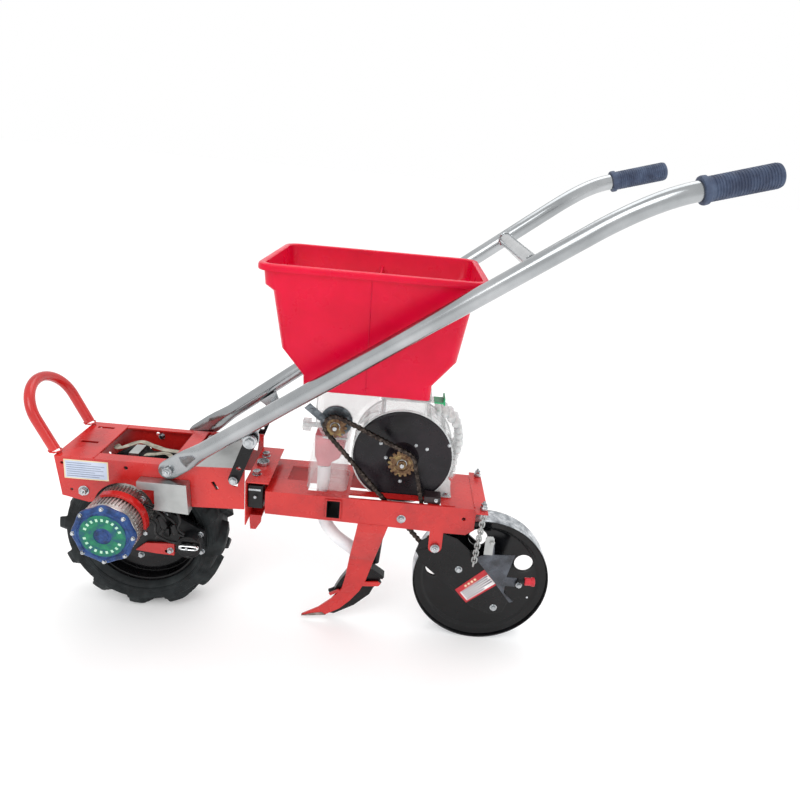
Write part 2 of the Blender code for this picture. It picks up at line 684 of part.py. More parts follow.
def beam():
    outline = [(BEAM_X0, BEAM_TOP), (BEAM_X0, RAIL_LOW_FRONT), (EAR_X - EAR_R, RAIL_LOW_REAR)]
    outline += arc(EAR_X, EAR_Z, EAR_R, 180.0, 360.0, 10)
    outline += [(EAR_X + EAR_R, 0.2480), (0.6320, 0.2480), (BEAM_X1, 0.2590), (BEAM_X1, BEAM_TOP)]
    bm = bmesh.new()
    add_prism(bm, outline, -BEAM_HALF, BEAM_HALF)
    body = finish("beam", bm, red())
    inner = BEAM_HALF - SHEET
    cut(body, lambda b: add_box(b, BEAM_X0 + 0.0025, 0.70, -inner, inner, 0.10, BEAM_TOP - SHEET))
    join(body, lambda b: add_box(b, 0.6440, 0.6680, -0.0780, 0.0780, BEAM_TOP - SHEET + 0.00005, BEAM_TOP + 0.0001))
    join(body, lambda b: add_turned(b, [(0.0120, 0.2365), (0.0120, 0.3200)], (KING_X, 0, 0), (0, 0, 1)))
    join(body, lambda b: add_box(b, KING_X + 0.0080, BEAM_X0 + 0.0015, -0.0050, 0.0050, 0.2460, 0.3030))
    cut(body, lambda b: add_turned(b, [(KING_R + GAP, 0.20), (KING_R + GAP, 0.36)], (KING_X, 0, 0), (0, 0, 1)))

    def top_openings(b):
        add_box(b, 0.2810, 0.3180, -0.0150, 0.0400, 0.29, 0.33)
        add_box(b, 0.3260, 0.3620, -0.0480, 0.0400, 0.29, 0.33)
        add_box(b, 0.4050, 0.5650, -0.0340, 0.0500, 0.29, 0.33)
        add_box(b, 0.4050, 0.6060, -0.0615, -0.0495, 0.29, 0.33)

    cut(body, top_openings)

    def side_holes(b):
        add_box(b, SOCKET_X0 - GAP, SOCKET_X1 + GAP, -0.09, 0.09, SOCKET_Z0 - GAP, SOCKET_Z1 + GAP)
        add_cyl(b, EAR_X, EAR_Z, SHAFT_R + GAP, -0.09, 0.09)
        add_cyl(b, 0.6255, 0.2816, 0.0040, -0.09, 0.09, 32)

    cut(body, side_holes)

    def hanger_holes(b):
        for side in (-1, 1):
            add_turned(b, [(0.0036, 0.29), (0.0036, 0.33)], (0.6605, side * 0.0640, 0), (0, 0, 1), 20)

    cut(body, hanger_holes)


def tube_socket():
    bm = bmesh.new()
    half = BEAM_HALF + 0.0025
    add_box(bm, SOCKET_X0, SOCKET_X1, -half, half, SOCKET_Z0, SOCKET_Z1)
    body = finish("tube_socket", bm, red())
    x0, x1, z0, z1 = SOCKET_X0 + SHEET, SOCKET_X1 - SHEET, SOCKET_Z0 + SHEET, SOCKET_Z1 - SHEET
    cut(body, lambda b: add_box(b, x0, x1, -half - 0.01, half + 0.01, z0, z1))


def opener_shank():
    """Flat blade whose top lies in the near rail's plane and which steps inwards below the beam."""
    left = [(0.3233, 0.0110), (0.3560, 0.0310), (0.3810, 0.0540), (0.4020, 0.0820), (0.4080, 0.1110),
            (0.4130, 0.1550), (0.4240, 0.2350), (0.4262, rail_bottom(0.4262) - GAP)]
    right = [(0.3729, 0.0170), (0.4000, 0.0340), (0.4200, 0.0550), (0.4380, 0.0800), (0.4490, 0.1050),
             (0.4620, 0.1550), (0.4800, 0.2350), (0.4842, rail_bottom(0.4842) - GAP)]
    loops = []
    for (lx, lz), (rx, rz) in zip(left, right):
        loop = []
        for x, z, y in ((lx, lz, -BEAM_HALF), (rx, rz, -BEAM_HALF), (rx, rz, 0.0055 - BEAM_HALF),
                        (lx, lz, 0.0055 - BEAM_HALF)):
            blend = min(max((0.235 - z) / 0.080, 0.0), 1.0)
            loop.append((x, y + 0.025 * blend, z))
        loops.append(loop)
    bm = bmesh.new()
    add_loft(bm, loops)
    finish("opener_shank", bm, red())


def opener_boot():
    outline = [(0.3740, 0.0170), (0.3890, 0.0160), (0.4280, 0.0400), (0.4590, 0.0705), (0.4660, 0.0865),
               (0.4815, 0.1118), (0.4575, 0.1310), (0.4100, 0.1180), (0.3960, 0.0945), (0.3860, 0.0730),
               (0.3960, 0.0500)]
    bm = bmesh.new()
    add_prism(bm, outline, -0.0350, -0.0180)
    finish("opener_boot", bm, black())


def smooth(points, per=4):
    """Catmull-Rom points through the given ones."""
    pts = [Vector(p) for p in points]
    pts = [pts[0] * 2 - pts[1]] + pts + [pts[-1] * 2 - pts[-2]]
    made = []
    for i in range(1, len(pts) - 2):
        a, b, c, d = pts[i - 1:i + 3]
        for k in range(per):
            t = k / per
            made.append(0.5 * (2 * b + (c - a) * t + (2 * a - 5 * b + 4 * c - d) * t * t
                               + (3 * b - 3 * c + d - a) * t ** 3))
    made.append(pts[-2])
    return made


def fert_hose():
    path = smooth([(0.3490, 0.0, 0.3360), (0.3490, 0.0, 0.2900), (0.3490, 0.0, 0.2500), (0.3570, -0.0060, 0.2150),
                   (0.3780, -0.0140, 0.1900), (0.4050, -0.0180, 0.1720), (0.4280, -0.0180, 0.1560)], 2)
    bm = bmesh.new()
    add_tube(bm, path, 0.0125, 12)
    finish("fert_hose", bm, material("white_hose", (0.80, 0.81, 0.82), 0.0, 0.4))


def seed_tube():
    path = smooth([(0.4780, 0.0100, 0.2760), (0.4740, 0.0080, 0.2300), (0.4660, 0.0020, 0.1800),
                   (0.4620, 0.0, 0.1250)], 2)
    bm = bmesh.new()
    add_tube(bm, path, 0.0110, 10)
    finish("seed_tube", bm, black())


def chain_guide():
    bm = bmesh.new()
    add_box(bm, 0.5470, 0.5785, -0.0595, -0.0355, BEAM_TOP + GAP, 0.3185)
    finish("chain_guide", bm, material("guide_plastic", (0.03, 0.012, 0.014), 0.0, 0.5))


def seed_meter():
    neck0, neck1, top = 0.4520, 0.5405, 0.5150
    a1 = math.degrees(math.acos((neck0 - SEED_X) / HOUSING_R))
    a2 = math.degrees(math.acos((neck1 - SEED_X) / HOUSING_R))
    outline = [(neck0, top)] + arc(SEED_X, SEED_Z, HOUSING_R, a1, 360.0 + a2, 36) + [(neck1, top)]
    bm = bmesh.new()
    add_prism(bm, outline, -0.0275, 0.0400)
    body = finish("seed_meter", bm, clear())
    thin = 0.0030

    def hollow(b):
        room = [(neck0 + thin, 0.5300)] + arc(SEED_X, SEED_Z, HOUSING_R - thin, a1 + 1.5, 358.5 + a2, 30)
        add_prism(b, room + [(neck1 - thin, 0.5300)], -0.0275 + thin, 0.0400 - thin)

    cut(body, hollow)
    cut(body, lambda b: add_box(b, 0.5000, 0.5600, -0.0355, -0.0045, 0.4968, 0.5012))
    cut(body, lambda b: add_cyl(b, SEED_X, SEED_Z, 0.0065, -0.0400, -0.0150))


def disc_cover():
    bm = bmesh.new()
    add_cyl(bm, SEED_X, SEED_Z, DISC_R, -0.0305, -0.0278, 48)
    body = finish("disc_cover", bm, black())
    cut(body, lambda b: add_cyl(b, SEED_X, SEED_Z, 0.0065, -0.0400, -0.0150))


def brush_cover():
    inner = arc(SEED_X, SEED_Z, HOUSING_R + 0.0006, 60.0, -26.0, 14)
    outer = [(0.6000, 0.3370), (0.6060, 0.3480), (0.6080, 0.3860), (0.6129, 0.4102), (0.6060, 0.4330),
             (0.5996, 0.4462), (0.5800, 0.4640), (0.5560, 0.4740)]
    bm = bmesh.new()
    add_prism(bm, inner + outer, -0.0180, 0.0300)
    finish("brush_cover", bm, clear())


def fert_meter():
    outline = [(0.3335, 0.4380), (0.3480, 0.4122), (0.3950, 0.4122), (0.4190, 0.4480), (0.4380, 0.4640),
               (0.4490, 0.4700), (0.4490, 0.5150), (0.3335, 0.5150)]
    bm = bmesh.new()
    add_prism(bm, outline, -0.0370, 0.0450)
    body = finish("fert_meter", bm, clear())
    room = [(0.3370, 0.4390), (0.3500, 0.4155), (0.3930, 0.4155), (0.4165, 0.4500), (0.4362, 0.4665),
            (0.4460, 0.4720), (0.4460, 0.5300), (0.3370, 0.5300)]
    cut(body, lambda b: add_prism(b, room, -0.0340, 0.0420))
    cut(body, lambda b: add_cyl(b, FERT_X, FERT_Z, 0.0055, -0.0500, -0.0250))
    cut(body, lambda b: add_turned(b, [(0.0046, 0.3200), (0.0046, 0.3600)], (0, -0.0100, 0.4230), (1, 0, 0), 16))


def fert_end_disc():
    bm = bmesh.new()
    add_cyl(bm, 0.3716, 0.4480, 0.0300, -0.0410, -0.0373, 32)
    body = finish("fert_end_disc", bm, material("dark_steel", (0.07, 0.08, 0.085), 0.6, 0.4))
    cut(body, lambda b: add_cyl(b, FERT_X, FERT_Z, 0.0055, -0.0500, -0.0250))


def fert_spout():
    loops = [rounded_rect(0.3490, 0.0135, 0.0135, 0.0060, 0.3390), rounded_rect(0.3500, 0.0150, 0.0160, 0.0060, 0.3600),
             rounded_rect(0.3560, 0.0250, 0.0250, 0.0080, 0.3950), rounded_rect(0.3580, 0.0260, 0.0270, 0.0080, 0.4080)]
    bm = bmesh.new()
    add_loft(bm, loops)
    finish("fert_spout", bm, material("red_plastic", (0.70, 0.02, 0.05), 0.0, 0.4))


def outlet_boot():
    outer = [(0.3600, 0.0385, 0.0440, 0.3050), (0.3600, 0.0375, 0.0400, 0.3600), (0.3630, 0.0335, 0.0340, 0.4116)]
    loops = [rounded_rect(cx, hx, hy, 0.010, z) for cx, hx, hy, z in outer]
    loops += [rounded_rect(cx, hx - 0.0025, hy - 0.0025, 0.0085, z) for cx, hx, hy, z in reversed(outer)]
    bm = bmesh.new()
    add_loft(bm, loops, closed=True)
    finish("outlet_boot", bm, clear())


def hopper():
    rows = [(HOPPER_Z0, 0.1131, 0.0700, 0.008), (0.5448, 0.1135, 0.0780, 0.010), (0.5945, 0.1511, 0.0905, 0.016),
            (0.6974, 0.1640, 0.1130, 0.020), (0.7075, 0.1770, 0.1155, 0.020), (0.7335, 0.1790, 0.1200, 0.022),
            (0.7337, RIM_HX, RIM_HY, 0.026), (0.7425, RIM_HX, RIM_HY, 0.026), (RIM_Z, RIM_HX - 0.0020, RIM_HY - 0.0020, 0.024),
            (RIM_Z, 0.1765, 0.1180, 0.021), (0.7335, 0.1755, 0.1165, 0.020), (0.7090, 0.1740, 0.1120, 0.018),
            (0.6990, 0.1605, 0.1095, 0.018), (0.5960, 0.1476, 0.0870, 0.014), (0.5462, 0.1098, 0.0745, 0.009),
            (HOPPER_Z0 + 0.0035, 0.1095, 0.0668, 0.006)]
    loops = [rounded_rect(HOPPER_X, hx, hy, r, z) for z, hx, hy, r in rows]
    bm = bmesh.new()
    add_loft(bm, loops)
    body = finish("hopper", bm, material("red_plastic", (0.70, 0.02, 0.05), 0.0, 0.4))
    cut(body, lambda b: add_box(b, 0.3480, 0.4130, -0.0260, 0.0300, 0.50, 0.53))
    cut(body, lambda b: add_box(b, 0.4620, 0.5300, -0.0180, 0.0300, 0.50, 0.53))


def hopper_divider():
    rows = [(HOPPER_Z0 + 0.0040, 0.0663), (0.5460, 0.0738), (0.5960, 0.0863), (0.6990, 0.1088), (0.7090, 0.1113),
            (0.7180, 0.1128)]
    loops = []
    for z, half in rows:
        loops.append([(HOPPER_X + 0.003, -half, z), (HOPPER_X + 0.006, -half, z), (HOPPER_X + 0.006, half, z),
                      (HOPPER_X + 0.003, half, z)])
    bm = bmesh.new()
    add_loft(bm, loops)
    finish("hopper_divider", bm, material("red_plastic", (0.70, 0.02, 0.05), 0.0, 0.4))


def gate_tab():
    bm = bmesh.new()
    add_prism(bm, [(0.5030, 0.4975), (0.5650, 0.4975), (0.5660, 0.4945), (0.5690, 0.4945), (0.5680, 0.5090),
                   (0.5650, 0.5090), (0.5645, 0.5005), (0.5030, 0.5005)], -0.0350, -0.0050)
    finish("gate_tab", bm, material("green_plastic", (0.02, 0.42, 0.20), 0.0, 0.4), (0.5650, -0.02, 0.499))


def rate_knob():
    bm = bmesh.new()
    points = []
    for i in range(24):
        a = 2 * math.pi * i / 24
        r = 0.0125 if i % 4 in (0, 1) else 0.0112
        points.append((r * math.cos(a), r * math.sin(a)))
    loops = [[(x, -0.0100 + p, 0.4230 + q) for p, q in points] for x in (0.3060, 0.3210)]
    add_loft(bm, loops)
    body = finish("rate_knob", bm, clear(), (0.3135, -0.0100, 0.4230))
    join(body, lambda b: add_turned(b, [(0.0040, 0.3180), (0.0040, 0.3480)], (0, -0.0100, 0.4230), (1, 0, 0), 16))


def sprocket_outline(cx, cz, teeth, phase=0.0):
    pitch_r = PITCH / (2 * math.sin(math.pi / teeth))
    outer = PITCH * (0.55 + 1 / math.tan(math.pi / teeth)) / 2
    root = pitch_r - 0.0026
    points = []
    for i in range(teeth):
        base = 2 * math.pi * (i + phase) / teeth
        for step, r in ((0.30, outer), (0.44, outer * 0.985), (0.62, root), (0.86, root), (1.02, outer * 0.985)):
            a = base + (step - 0.37) * 2 * math.pi / teeth
            points.append((cx + r * math.cos(a), cz + r * math.sin(a)))
    return points


def sprocket(name, cx, cz, teeth, hub_r, hub_y, nut=True, bore=0.0):
    """Toothed plate with a hub behind it and, on a driven shaft, the shaft end and nut in front."""
    bm = bmesh.new()
    add_prism(bm, sprocket_outline(cx, cz, teeth), -0.0565, -0.0535)
    body = finish(name, bm, material("old_bronze", (0.30, 0.19, 0.10), 0.9, 0.5), (cx, 0.0, cz))
    if nut:
        profile = [(0.0050, -0.0655), (0.0050, -0.0630), (0.0085, -0.0630), (0.0085, -0.0570), (hub_r, -0.0570),
                   (hub_r, hub_y - 0.0030), (0.0050, hub_y - 0.0030), (0.0050, hub_y + 0.0080)]
        join(body, lambda b: add_turned(b, profile, (cx, 0, cz), (0, 1, 0), 16))
    else:
        join(body, lambda b: add_cyl(b, cx, cz, hub_r, -0.0570, hub_y))
        cut(body, lambda b: add_cyl(b, cx, cz, bore, -0.07, -0.03))


def belt(circles):
    """Path round circles (x, z, r, side): side 1 wraps counter-clockwise, -1 bends the other way."""
    count = len(circles)
    tangents = []
    for i in range(count):
        x0, z0, r0, s0 = circles[i]
        x1, z1, r1, s1 = circles[(i + 1) % count]
        d = math.hypot(x1 - x0, z1 - z0)
        base = math.atan2(z1 - z0, x1 - x0)
        turn = math.asin((s0 * r0 - s1 * r1) / d)
        n = base - math.pi / 2 + turn
        tangents.append(((x0 + s0 * r0 * math.cos(n), z0 + s0 * r0 * math.sin(n)),
                         (x1 + s1 * r1 * math.cos(n), z1 + s1 * r1 * math.sin(n))))
    path = []
    for i in range(count):
        x, z, r, s = circles[i]
        enter = tangents[i - 1][1]
        leave = tangents[i][0]
        a0 = math.atan2(enter[1] - z, enter[0] - x)
        a1 = math.atan2(leave[1] - z, leave[0] - x)
        sweep = (a1 - a0) * s
        while sweep < -1e-9:
            sweep += 2 * math.pi
        steps = max(int(sweep / math.radians(15)), 1)
        for k in range(steps + 1):
            a = a0 + s * sweep * k / steps
            path.append((x + r * math.cos(a), z + r * math.sin(a)))
    return path


def drive_chain():
    r13 = PITCH / (2 * math.sin(math.pi / 13))
    r16 = PITCH / (2 * math.sin(math.pi / 16))
    path = belt([(EAR_X, EAR_Z, r13, 1), (0.5590, 0.3040, 0.0160, -1), (SEED_X, SEED_Z, r16, 1),
                 (FERT_X, FERT_Z, r13, 1)])
    path = [p for i, p in enumerate(path) if math.hypot(p[0] - path[i - 1][0], p[1] - path[i - 1][1]) > 1e-5]
    count = len(path)
    section = [(-0.0038, CHAIN_Y0), (0.0038, CHAIN_Y0), (0.0038, CHAIN_Y1), (-0.0038, CHAIN_Y1),
               (-0.0038, CHAIN_Y1 - 0.0010), (0.0029, CHAIN_Y1 - 0.0010), (0.0029, CHAIN_Y0 + 0.0010),
               (-0.0038, CHAIN_Y0 + 0.0010)]
    loops = []
    for i in range(count):
        x0, z0 = path[i - 1]
        x1, z1 = path[i]
        x2, z2 = path[(i + 1) % count]
        a = Vector((x1 - x0, z1 - z0)).normalized()
        b = Vector((x2 - x1, z2 - z1)).normalized()
        along = (a + b).normalized()
        nx, nz = along.y, -along.x
        stretch = 1.0 / max(along.dot(a), 0.5)
        loops.append([(x1 + nx * n * stretch, y, z1 + nz * n * stretch) for n, y in section])
    bm = bmesh.new()
    add_loft(bm, loops, closed=True)
    finish("drive_chain", bm, material("oiled_steel", (0.16, 0.14, 0.12), 0.9, 0.45))


def arm_pivot():
    profile = [(0.0090, -0.0720), (0.0090, -0.0664), (SHAFT_R, -0.0664), (SHAFT_R, -0.0497)]
    bm = bmesh.new()
    add_turned(bm, profile, (EAR_X, 0, EAR_Z), (0, 1, 0), 20)
    finish("arm_pivot", bm, zinc())


def hanger(name, side):
    """Eye bolt through the rear flange that holds one link chain."""
    bm = bmesh.new()
    under = BEAM_TOP - SHEET - 0.0005
    over = BEAM_TOP + 0.0007
    profile = [(0.0060, under - 0.0060), (0.0060, under), (0.0033, under), (0.0033, over), (0.0070, over),
               (0.0070, over + 0.0048), (0.0050, over + 0.0068)]
    add_turned(bm, profile, (0.6605, side * 0.0640, 0), (0, 0, 1), 20)
    finish(name, bm, zinc())


def link_chain(name, top, low):
    """Slack chain drawn as a bar that swells at every link."""
    a = Vector(top)
    b = Vector(low)
    links = 6
    path = []
    section = []
    for i in range(links):
        for u, r in ((0.04, 0.0024), (0.30, 0.0046), (0.70, 0.0046), (0.96, 0.0024)):
            path.append(a + (b - a) * ((i + u) / links))
            section.append((r, r))
    bm = bmesh.new()
    add_tube(bm, path, 0.004, 8, section)
    finish(name, bm, zinc())


# ================= press arm and wheel =================

ARM_D = Vector((PRESS_X - EAR_X, PRESS_Z - EAR_Z)).normalized()
ARM_Y0 = -(BEAM_HALF - SHEET - 0.0005)   # the cover's face, just inside the near rail
ARM_IN = ARM_Y0 + 0.0015


def on_arm(s, n):
    return (EAR_X + ARM_D.x * s - ARM_D.y * n, EAR_Z + ARM_D.y * s + ARM_D.x * n)


def arm_cover():
    def grown(extra):
        rows = [(-0.0280, -0.0120), (-0.0150, 0.0280), (0.0200, 0.0420), (0.1500, 0.0340), (0.1920, 0.0130),
                (0.2020, -0.0120), (0.1880, -0.0340), (0.1500, -0.0480), (0.0100, -0.0450), (-0.0180, -0.0340)]
        mid = (0.085, -0.005)
        made = []
        for s, n in rows:
            reach = math.hypot(s - mid[0], n - mid[1])
            k = (reach - extra) / reach
            made.append(on_arm(mid[0] + (s - mid[0]) * k, mid[1] + (n - mid[1]) * k))
        return made

    bm = bmesh.new()
    add_prism(bm, grown(0.0), ARM_Y0, -0.0525)
    body = finish("arm_cover", bm, black(), (EAR_X, 0.0, EAR_Z))
    cut(body, lambda b: add_prism(b, grown(0.0022), ARM_IN, -0.0400))
    corner = [on_arm(-0.08, -0.09), on_arm(0.062, -0.09), on_arm(0.062, 0.09), on_arm(-0.08, 0.09)]
    cut(body, lambda b: add_prism(b, corner, ARM_IN, -0.0400))
    cut(body, lambda b: add_cyl(b, EAR_X, EAR_Z, SHAFT_R + GAP, -0.09, -0.03))


def arm_far_bar():
    d = ARM_D
    length = math.hypot(PRESS_X - EAR_X, PRESS_Z - EAR_Z)
    points = []
    for s0, a0 in ((length, -90), (0.0, 90)):
        for i in range(9):
            a = math.radians(a0 + 180.0 * i / 8)
            points.append(on_arm(s0 + 0.0150 * math.cos(a), 0.0150 * math.sin(a)))
    bm = bmesh.new()
    add_prism(bm, points, 0.0555, 0.0600)
    body = finish("arm_far_bar", bm, black(), (EAR_X, 0.0, EAR_Z))
    join(body, lambda b: add_cyl(b, EAR_X, EAR_Z, SHAFT_R, 0.0580, 0.0720, 20))
    cut(body, lambda b: add_cyl(b, PRESS_X, PRESS_Z, 0.0060 + GAP, 0.03, 0.09))


def arm_gusset():
    outline = [(0.6550, 0.2030), (0.6720, 0.2080), (0.6740, 0.2400), (0.6900, 0.2400), (0.6920, 0.2110),
               (0.7325, 0.2140), (0.7220, 0.1640), (0.7525, 0.1620), (0.7525, 0.1440), (0.7215, 0.1440),
               (0.7215, 0.1280), (0.7420, 0.1090), (0.7350, 0.1060), (0.7000, 0.1500)]
    bm = bmesh.new()
    add_prism(bm, outline, -0.0690, -0.0665)
    body = finish("arm_gusset", bm, material("grey_enamel", (0.12, 0.125, 0.135), 0.0, 0.45), (EAR_X, 0.0, EAR_Z))
    feet = [(0.6900, 0.1760), (0.7080, 0.1600), (0.7020, 0.1540), (0.6840, 0.1700)]
    join(body, lambda b: add_prism(b, feet, -0.0680, ARM_Y0 - GAP))
    cut(body, lambda b: add_cyl(b, 0.7464, 0.1536, 0.0043, -0.08, -0.05, 20))


def press_axle():
    profile = [(PRESS_AXLE_R, ARM_IN + 0.0004), (PRESS_AXLE_R, 0.0550), (0.0060, 0.0550), (0.0060, 0.0604), (0.0110, 0.0604),
               (0.0110, 0.0650)]
    bm = bmesh.new()
    add_turned(bm, profile, (PRESS_X, 0, PRESS_Z), (0, 1, 0), 24)
    finish("press_axle", bm, zinc(), (EAR_X, 0.0, EAR_Z))


def lever():
    bm = bmesh.new()
    profile = [(0.0040, -0.0720), (0.0040, -0.0620)]
    add_prism(bm, [(0.7404, 0.1476), (0.7524, 0.1476), (0.7560, 0.1560), (0.7560, 0.1660), (0.7440, 0.1660),
                   (0.7404, 0.1560)], -0.0750, -0.0693)
    body = finish("clutch_lever", bm, black(), (0.7464, 0.0, 0.1536))
    join(body, lambda b: add_turned(b, profile, (0.7464, 0, 0.1536), (0, 1, 0), 20))
    join(body, lambda b: add_turned(b, [(0.0042, 0.7450), (0.0042, 0.7680)], (0, -0.0736, 0.1620), (1, 0, 0), 16))
    bm = bmesh.new()
    inner = 0.0046
    add_turned(bm, [(inner, 0.7564), (0.0085, 0.7564), (0.0085, 0.7740), (0.0070, 0.7760), (0.0010, 0.7760),
                    (0.0010, 0.7690), (inner, 0.7690)], (0, -0.0736, 0.1620), (1, 0, 0), 20, closed=True)
    finish("lever_grip", bm, material("red_rubber", (0.55, 0.02, 0.03), 0.0, 0.5), (0.7464, 0.0, 0.1536))


def press_wheel():
    bore = PRESS_AXLE_R + GAP
    near, far, r = PRESS_Y0, PRESS_Y1, PRESS_R
    profile = [(r, near), (r - 0.0002, far), (r - 0.0032, far), (r - 0.0032, near + 0.0115), (r - 0.0187, near + 0.0115),
               (r - 0.0237, near + 0.0155), (0.0300, near + 0.0155), (0.0280, near + 0.0290), (bore, near + 0.0290),
               (bore, near + 0.0050), (0.0200, near + 0.0050), (0.0300, near + 0.0125), (r - 0.0222, near + 0.0125),
               (r - 0.0172, near + 0.0085), (r - 0.0042, near + 0.0085), (r - 0.0030, near)]
    bm = bmesh.new()
    add_turned(bm, profile, (PRESS_X, 0, PRESS_Z), (0, 1, 0), 48, closed=True)
    body = finish("press_wheel", bm, black(), (PRESS_X, 0.0, PRESS_Z))

    def windows(b):
        for angle in WINDOW_ANGLES:
            a = math.radians(angle)
            x, z = PRESS_X + WINDOW_AT * math.cos(a), PRESS_Z + WINDOW_AT * math.sin(a)
            add_cyl(b, x, z, WINDOW_R, PRESS_Y0 - 0.01, PRESS_Y0 + 0.04, 20)

    cut(body, windows)


chassis()
front_hoop()
rear_guard()
hitch_bracket()
kingpin()
gearbox()
motor_casing()
motor_cap()
motor_strap()
drive_cover()
motor_shelf()
far_fork()
PIVOT_REACH = PIVOT_Y + 0.0036 + PIVOT_HEAD_R * (BEND_Y - PIVOT_Y) / HANDLE_RUN + GAP
through_bolt("handle_pivot_bolt", PIVOT_X, PIVOT_Z, PIVOT_R, PIVOT_REACH, PIVOT_HEAD_R, 0.0060, (0, 0, 0))
tyre()
front_rim()
front_axle()
handle("handle_near", -1)
handle("handle_far", 1)
crossbar()
grip("grip_near", -1)
grip("grip_far", 1)
strut("strut_near", -1)
strut("strut_far", 1)
through_bolt("strut_cross_rod", STRUT_TOP[0], STRUT_TOP[1], BOLT_R, STRUT_Y1 + GAP, 0.0130, 0.0070,
             (PIVOT_X, 0, PIVOT_Z))
through_bolt("strut_low_bolt", STRUT_LOW[0], STRUT_LOW[1], BOLT_R, STRUT_Y1 + GAP, 0.0080, 0.0050,
             (PIVOT_X, 0, PIVOT_Z))
beam()
tube_socket()
opener_shank()
opener_boot()
fert_hose()
seed_tube()
chain_guide()
seed_meter()
disc_cover()
brush_cover()
fert_meter()
fert_end_disc()
fert_spout()
outlet_boot()
hopper()
hopper_divider()
drive_chain()
arm_pivot()
hanger("hanger_near", -1)
hanger("hanger_far", 1)
link_chain("link_chain_near", (0.6605, -0.0754, 0.3000), (0.6535, -0.0754, 0.1900))
link_chain("link_chain_far", (0.6605, 0.0754, 0.3000), (0.6535, 0.0660, 0.1650))
gate_tab()
rate_knob()
sprocket("seed_sprocket", SEED_X, SEED_Z, 16, 0.0110, -0.0305)
sprocket("fert_sprocket", FERT_X, FERT_Z, 13, 0.0090, -0.0415)
sprocket("arm_sprocket", EAR_X, EAR_Z, 13, 0.0110, -0.0500, nut=False, bore=SHAFT_R + GAP)
arm_cover()
arm_far_bar()
arm_gusset()
press_axle()
lever()
press_wheel()
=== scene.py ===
"""Looks of the push seeder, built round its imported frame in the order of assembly."""
import math

import bmesh
import bpy
import numpy as np
from mathutils import Matrix, Vector


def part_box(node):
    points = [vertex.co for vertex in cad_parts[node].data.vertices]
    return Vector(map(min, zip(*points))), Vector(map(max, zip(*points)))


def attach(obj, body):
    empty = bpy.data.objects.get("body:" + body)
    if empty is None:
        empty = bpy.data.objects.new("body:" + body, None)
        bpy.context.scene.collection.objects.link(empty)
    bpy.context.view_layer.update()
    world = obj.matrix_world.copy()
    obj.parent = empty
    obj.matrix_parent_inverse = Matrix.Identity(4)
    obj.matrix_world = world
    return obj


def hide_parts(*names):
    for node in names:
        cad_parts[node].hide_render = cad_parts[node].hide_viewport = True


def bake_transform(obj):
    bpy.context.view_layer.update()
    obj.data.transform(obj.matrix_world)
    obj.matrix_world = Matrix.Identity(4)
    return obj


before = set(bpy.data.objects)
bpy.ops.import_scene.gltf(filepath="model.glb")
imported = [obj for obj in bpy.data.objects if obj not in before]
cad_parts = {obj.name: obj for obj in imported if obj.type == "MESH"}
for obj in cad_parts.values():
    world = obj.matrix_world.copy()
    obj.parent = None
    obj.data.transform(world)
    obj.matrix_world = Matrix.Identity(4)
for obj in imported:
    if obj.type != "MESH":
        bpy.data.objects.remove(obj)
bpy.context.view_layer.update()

# ---- The room -------------------------------------------------------------------------
# A pale matt floor and soft studio light. Lengths are taken from the front axle, which
# stands in the middle of the tyre's box.
tyre_low, tyre_high = (np.array(corner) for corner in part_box("tyre"))
FRONT_AXLE = (tyre_low + tyre_high) / 2


def place(points):
    """Points measured from the point on the ground below the front axle, moved to the frame."""
    return np.asarray(points, dtype=float) + np.array([FRONT_AXLE[0], 0.0, 0.0])


def linear(hexcode):
    """sRGB hex to linear light, with full alpha."""
    value = np.array([int(hexcode[i:i + 2], 16) for i in (1, 3, 5)]) / 255
    value = np.where(value <= 0.04045, value / 12.92, ((value + 0.055) / 1.055) ** 2.4)
    return (*value.tolist(), 1.0)


def add_node(mat, kind, settings=None, **links):
    """Adds one node with its settings; a link's name is the socket's, with _ for a space."""
    made = mat.node_tree.nodes.new(kind)
    for key, value in (settings or {}).items():
        if key == "ramp":
            while len(made.color_ramp.elements) < len(value):
                made.color_ramp.elements.new(0.5)
            for element, (spot, colour) in zip(made.color_ramp.elements, value):
                element.position, element.color = spot, colour
        elif isinstance(key, str) and hasattr(made, key):
            setattr(made, key, value)
        else:
            made.inputs[key].default_value = value
    for key, source in links.items():
        socket = (made.inputs[int(key[1:])] if key[0] == "i" and key[1:].isdigit()
                  else made.inputs[key.replace("_", " ")])
        mat.node_tree.links.new(source, socket)
    return made


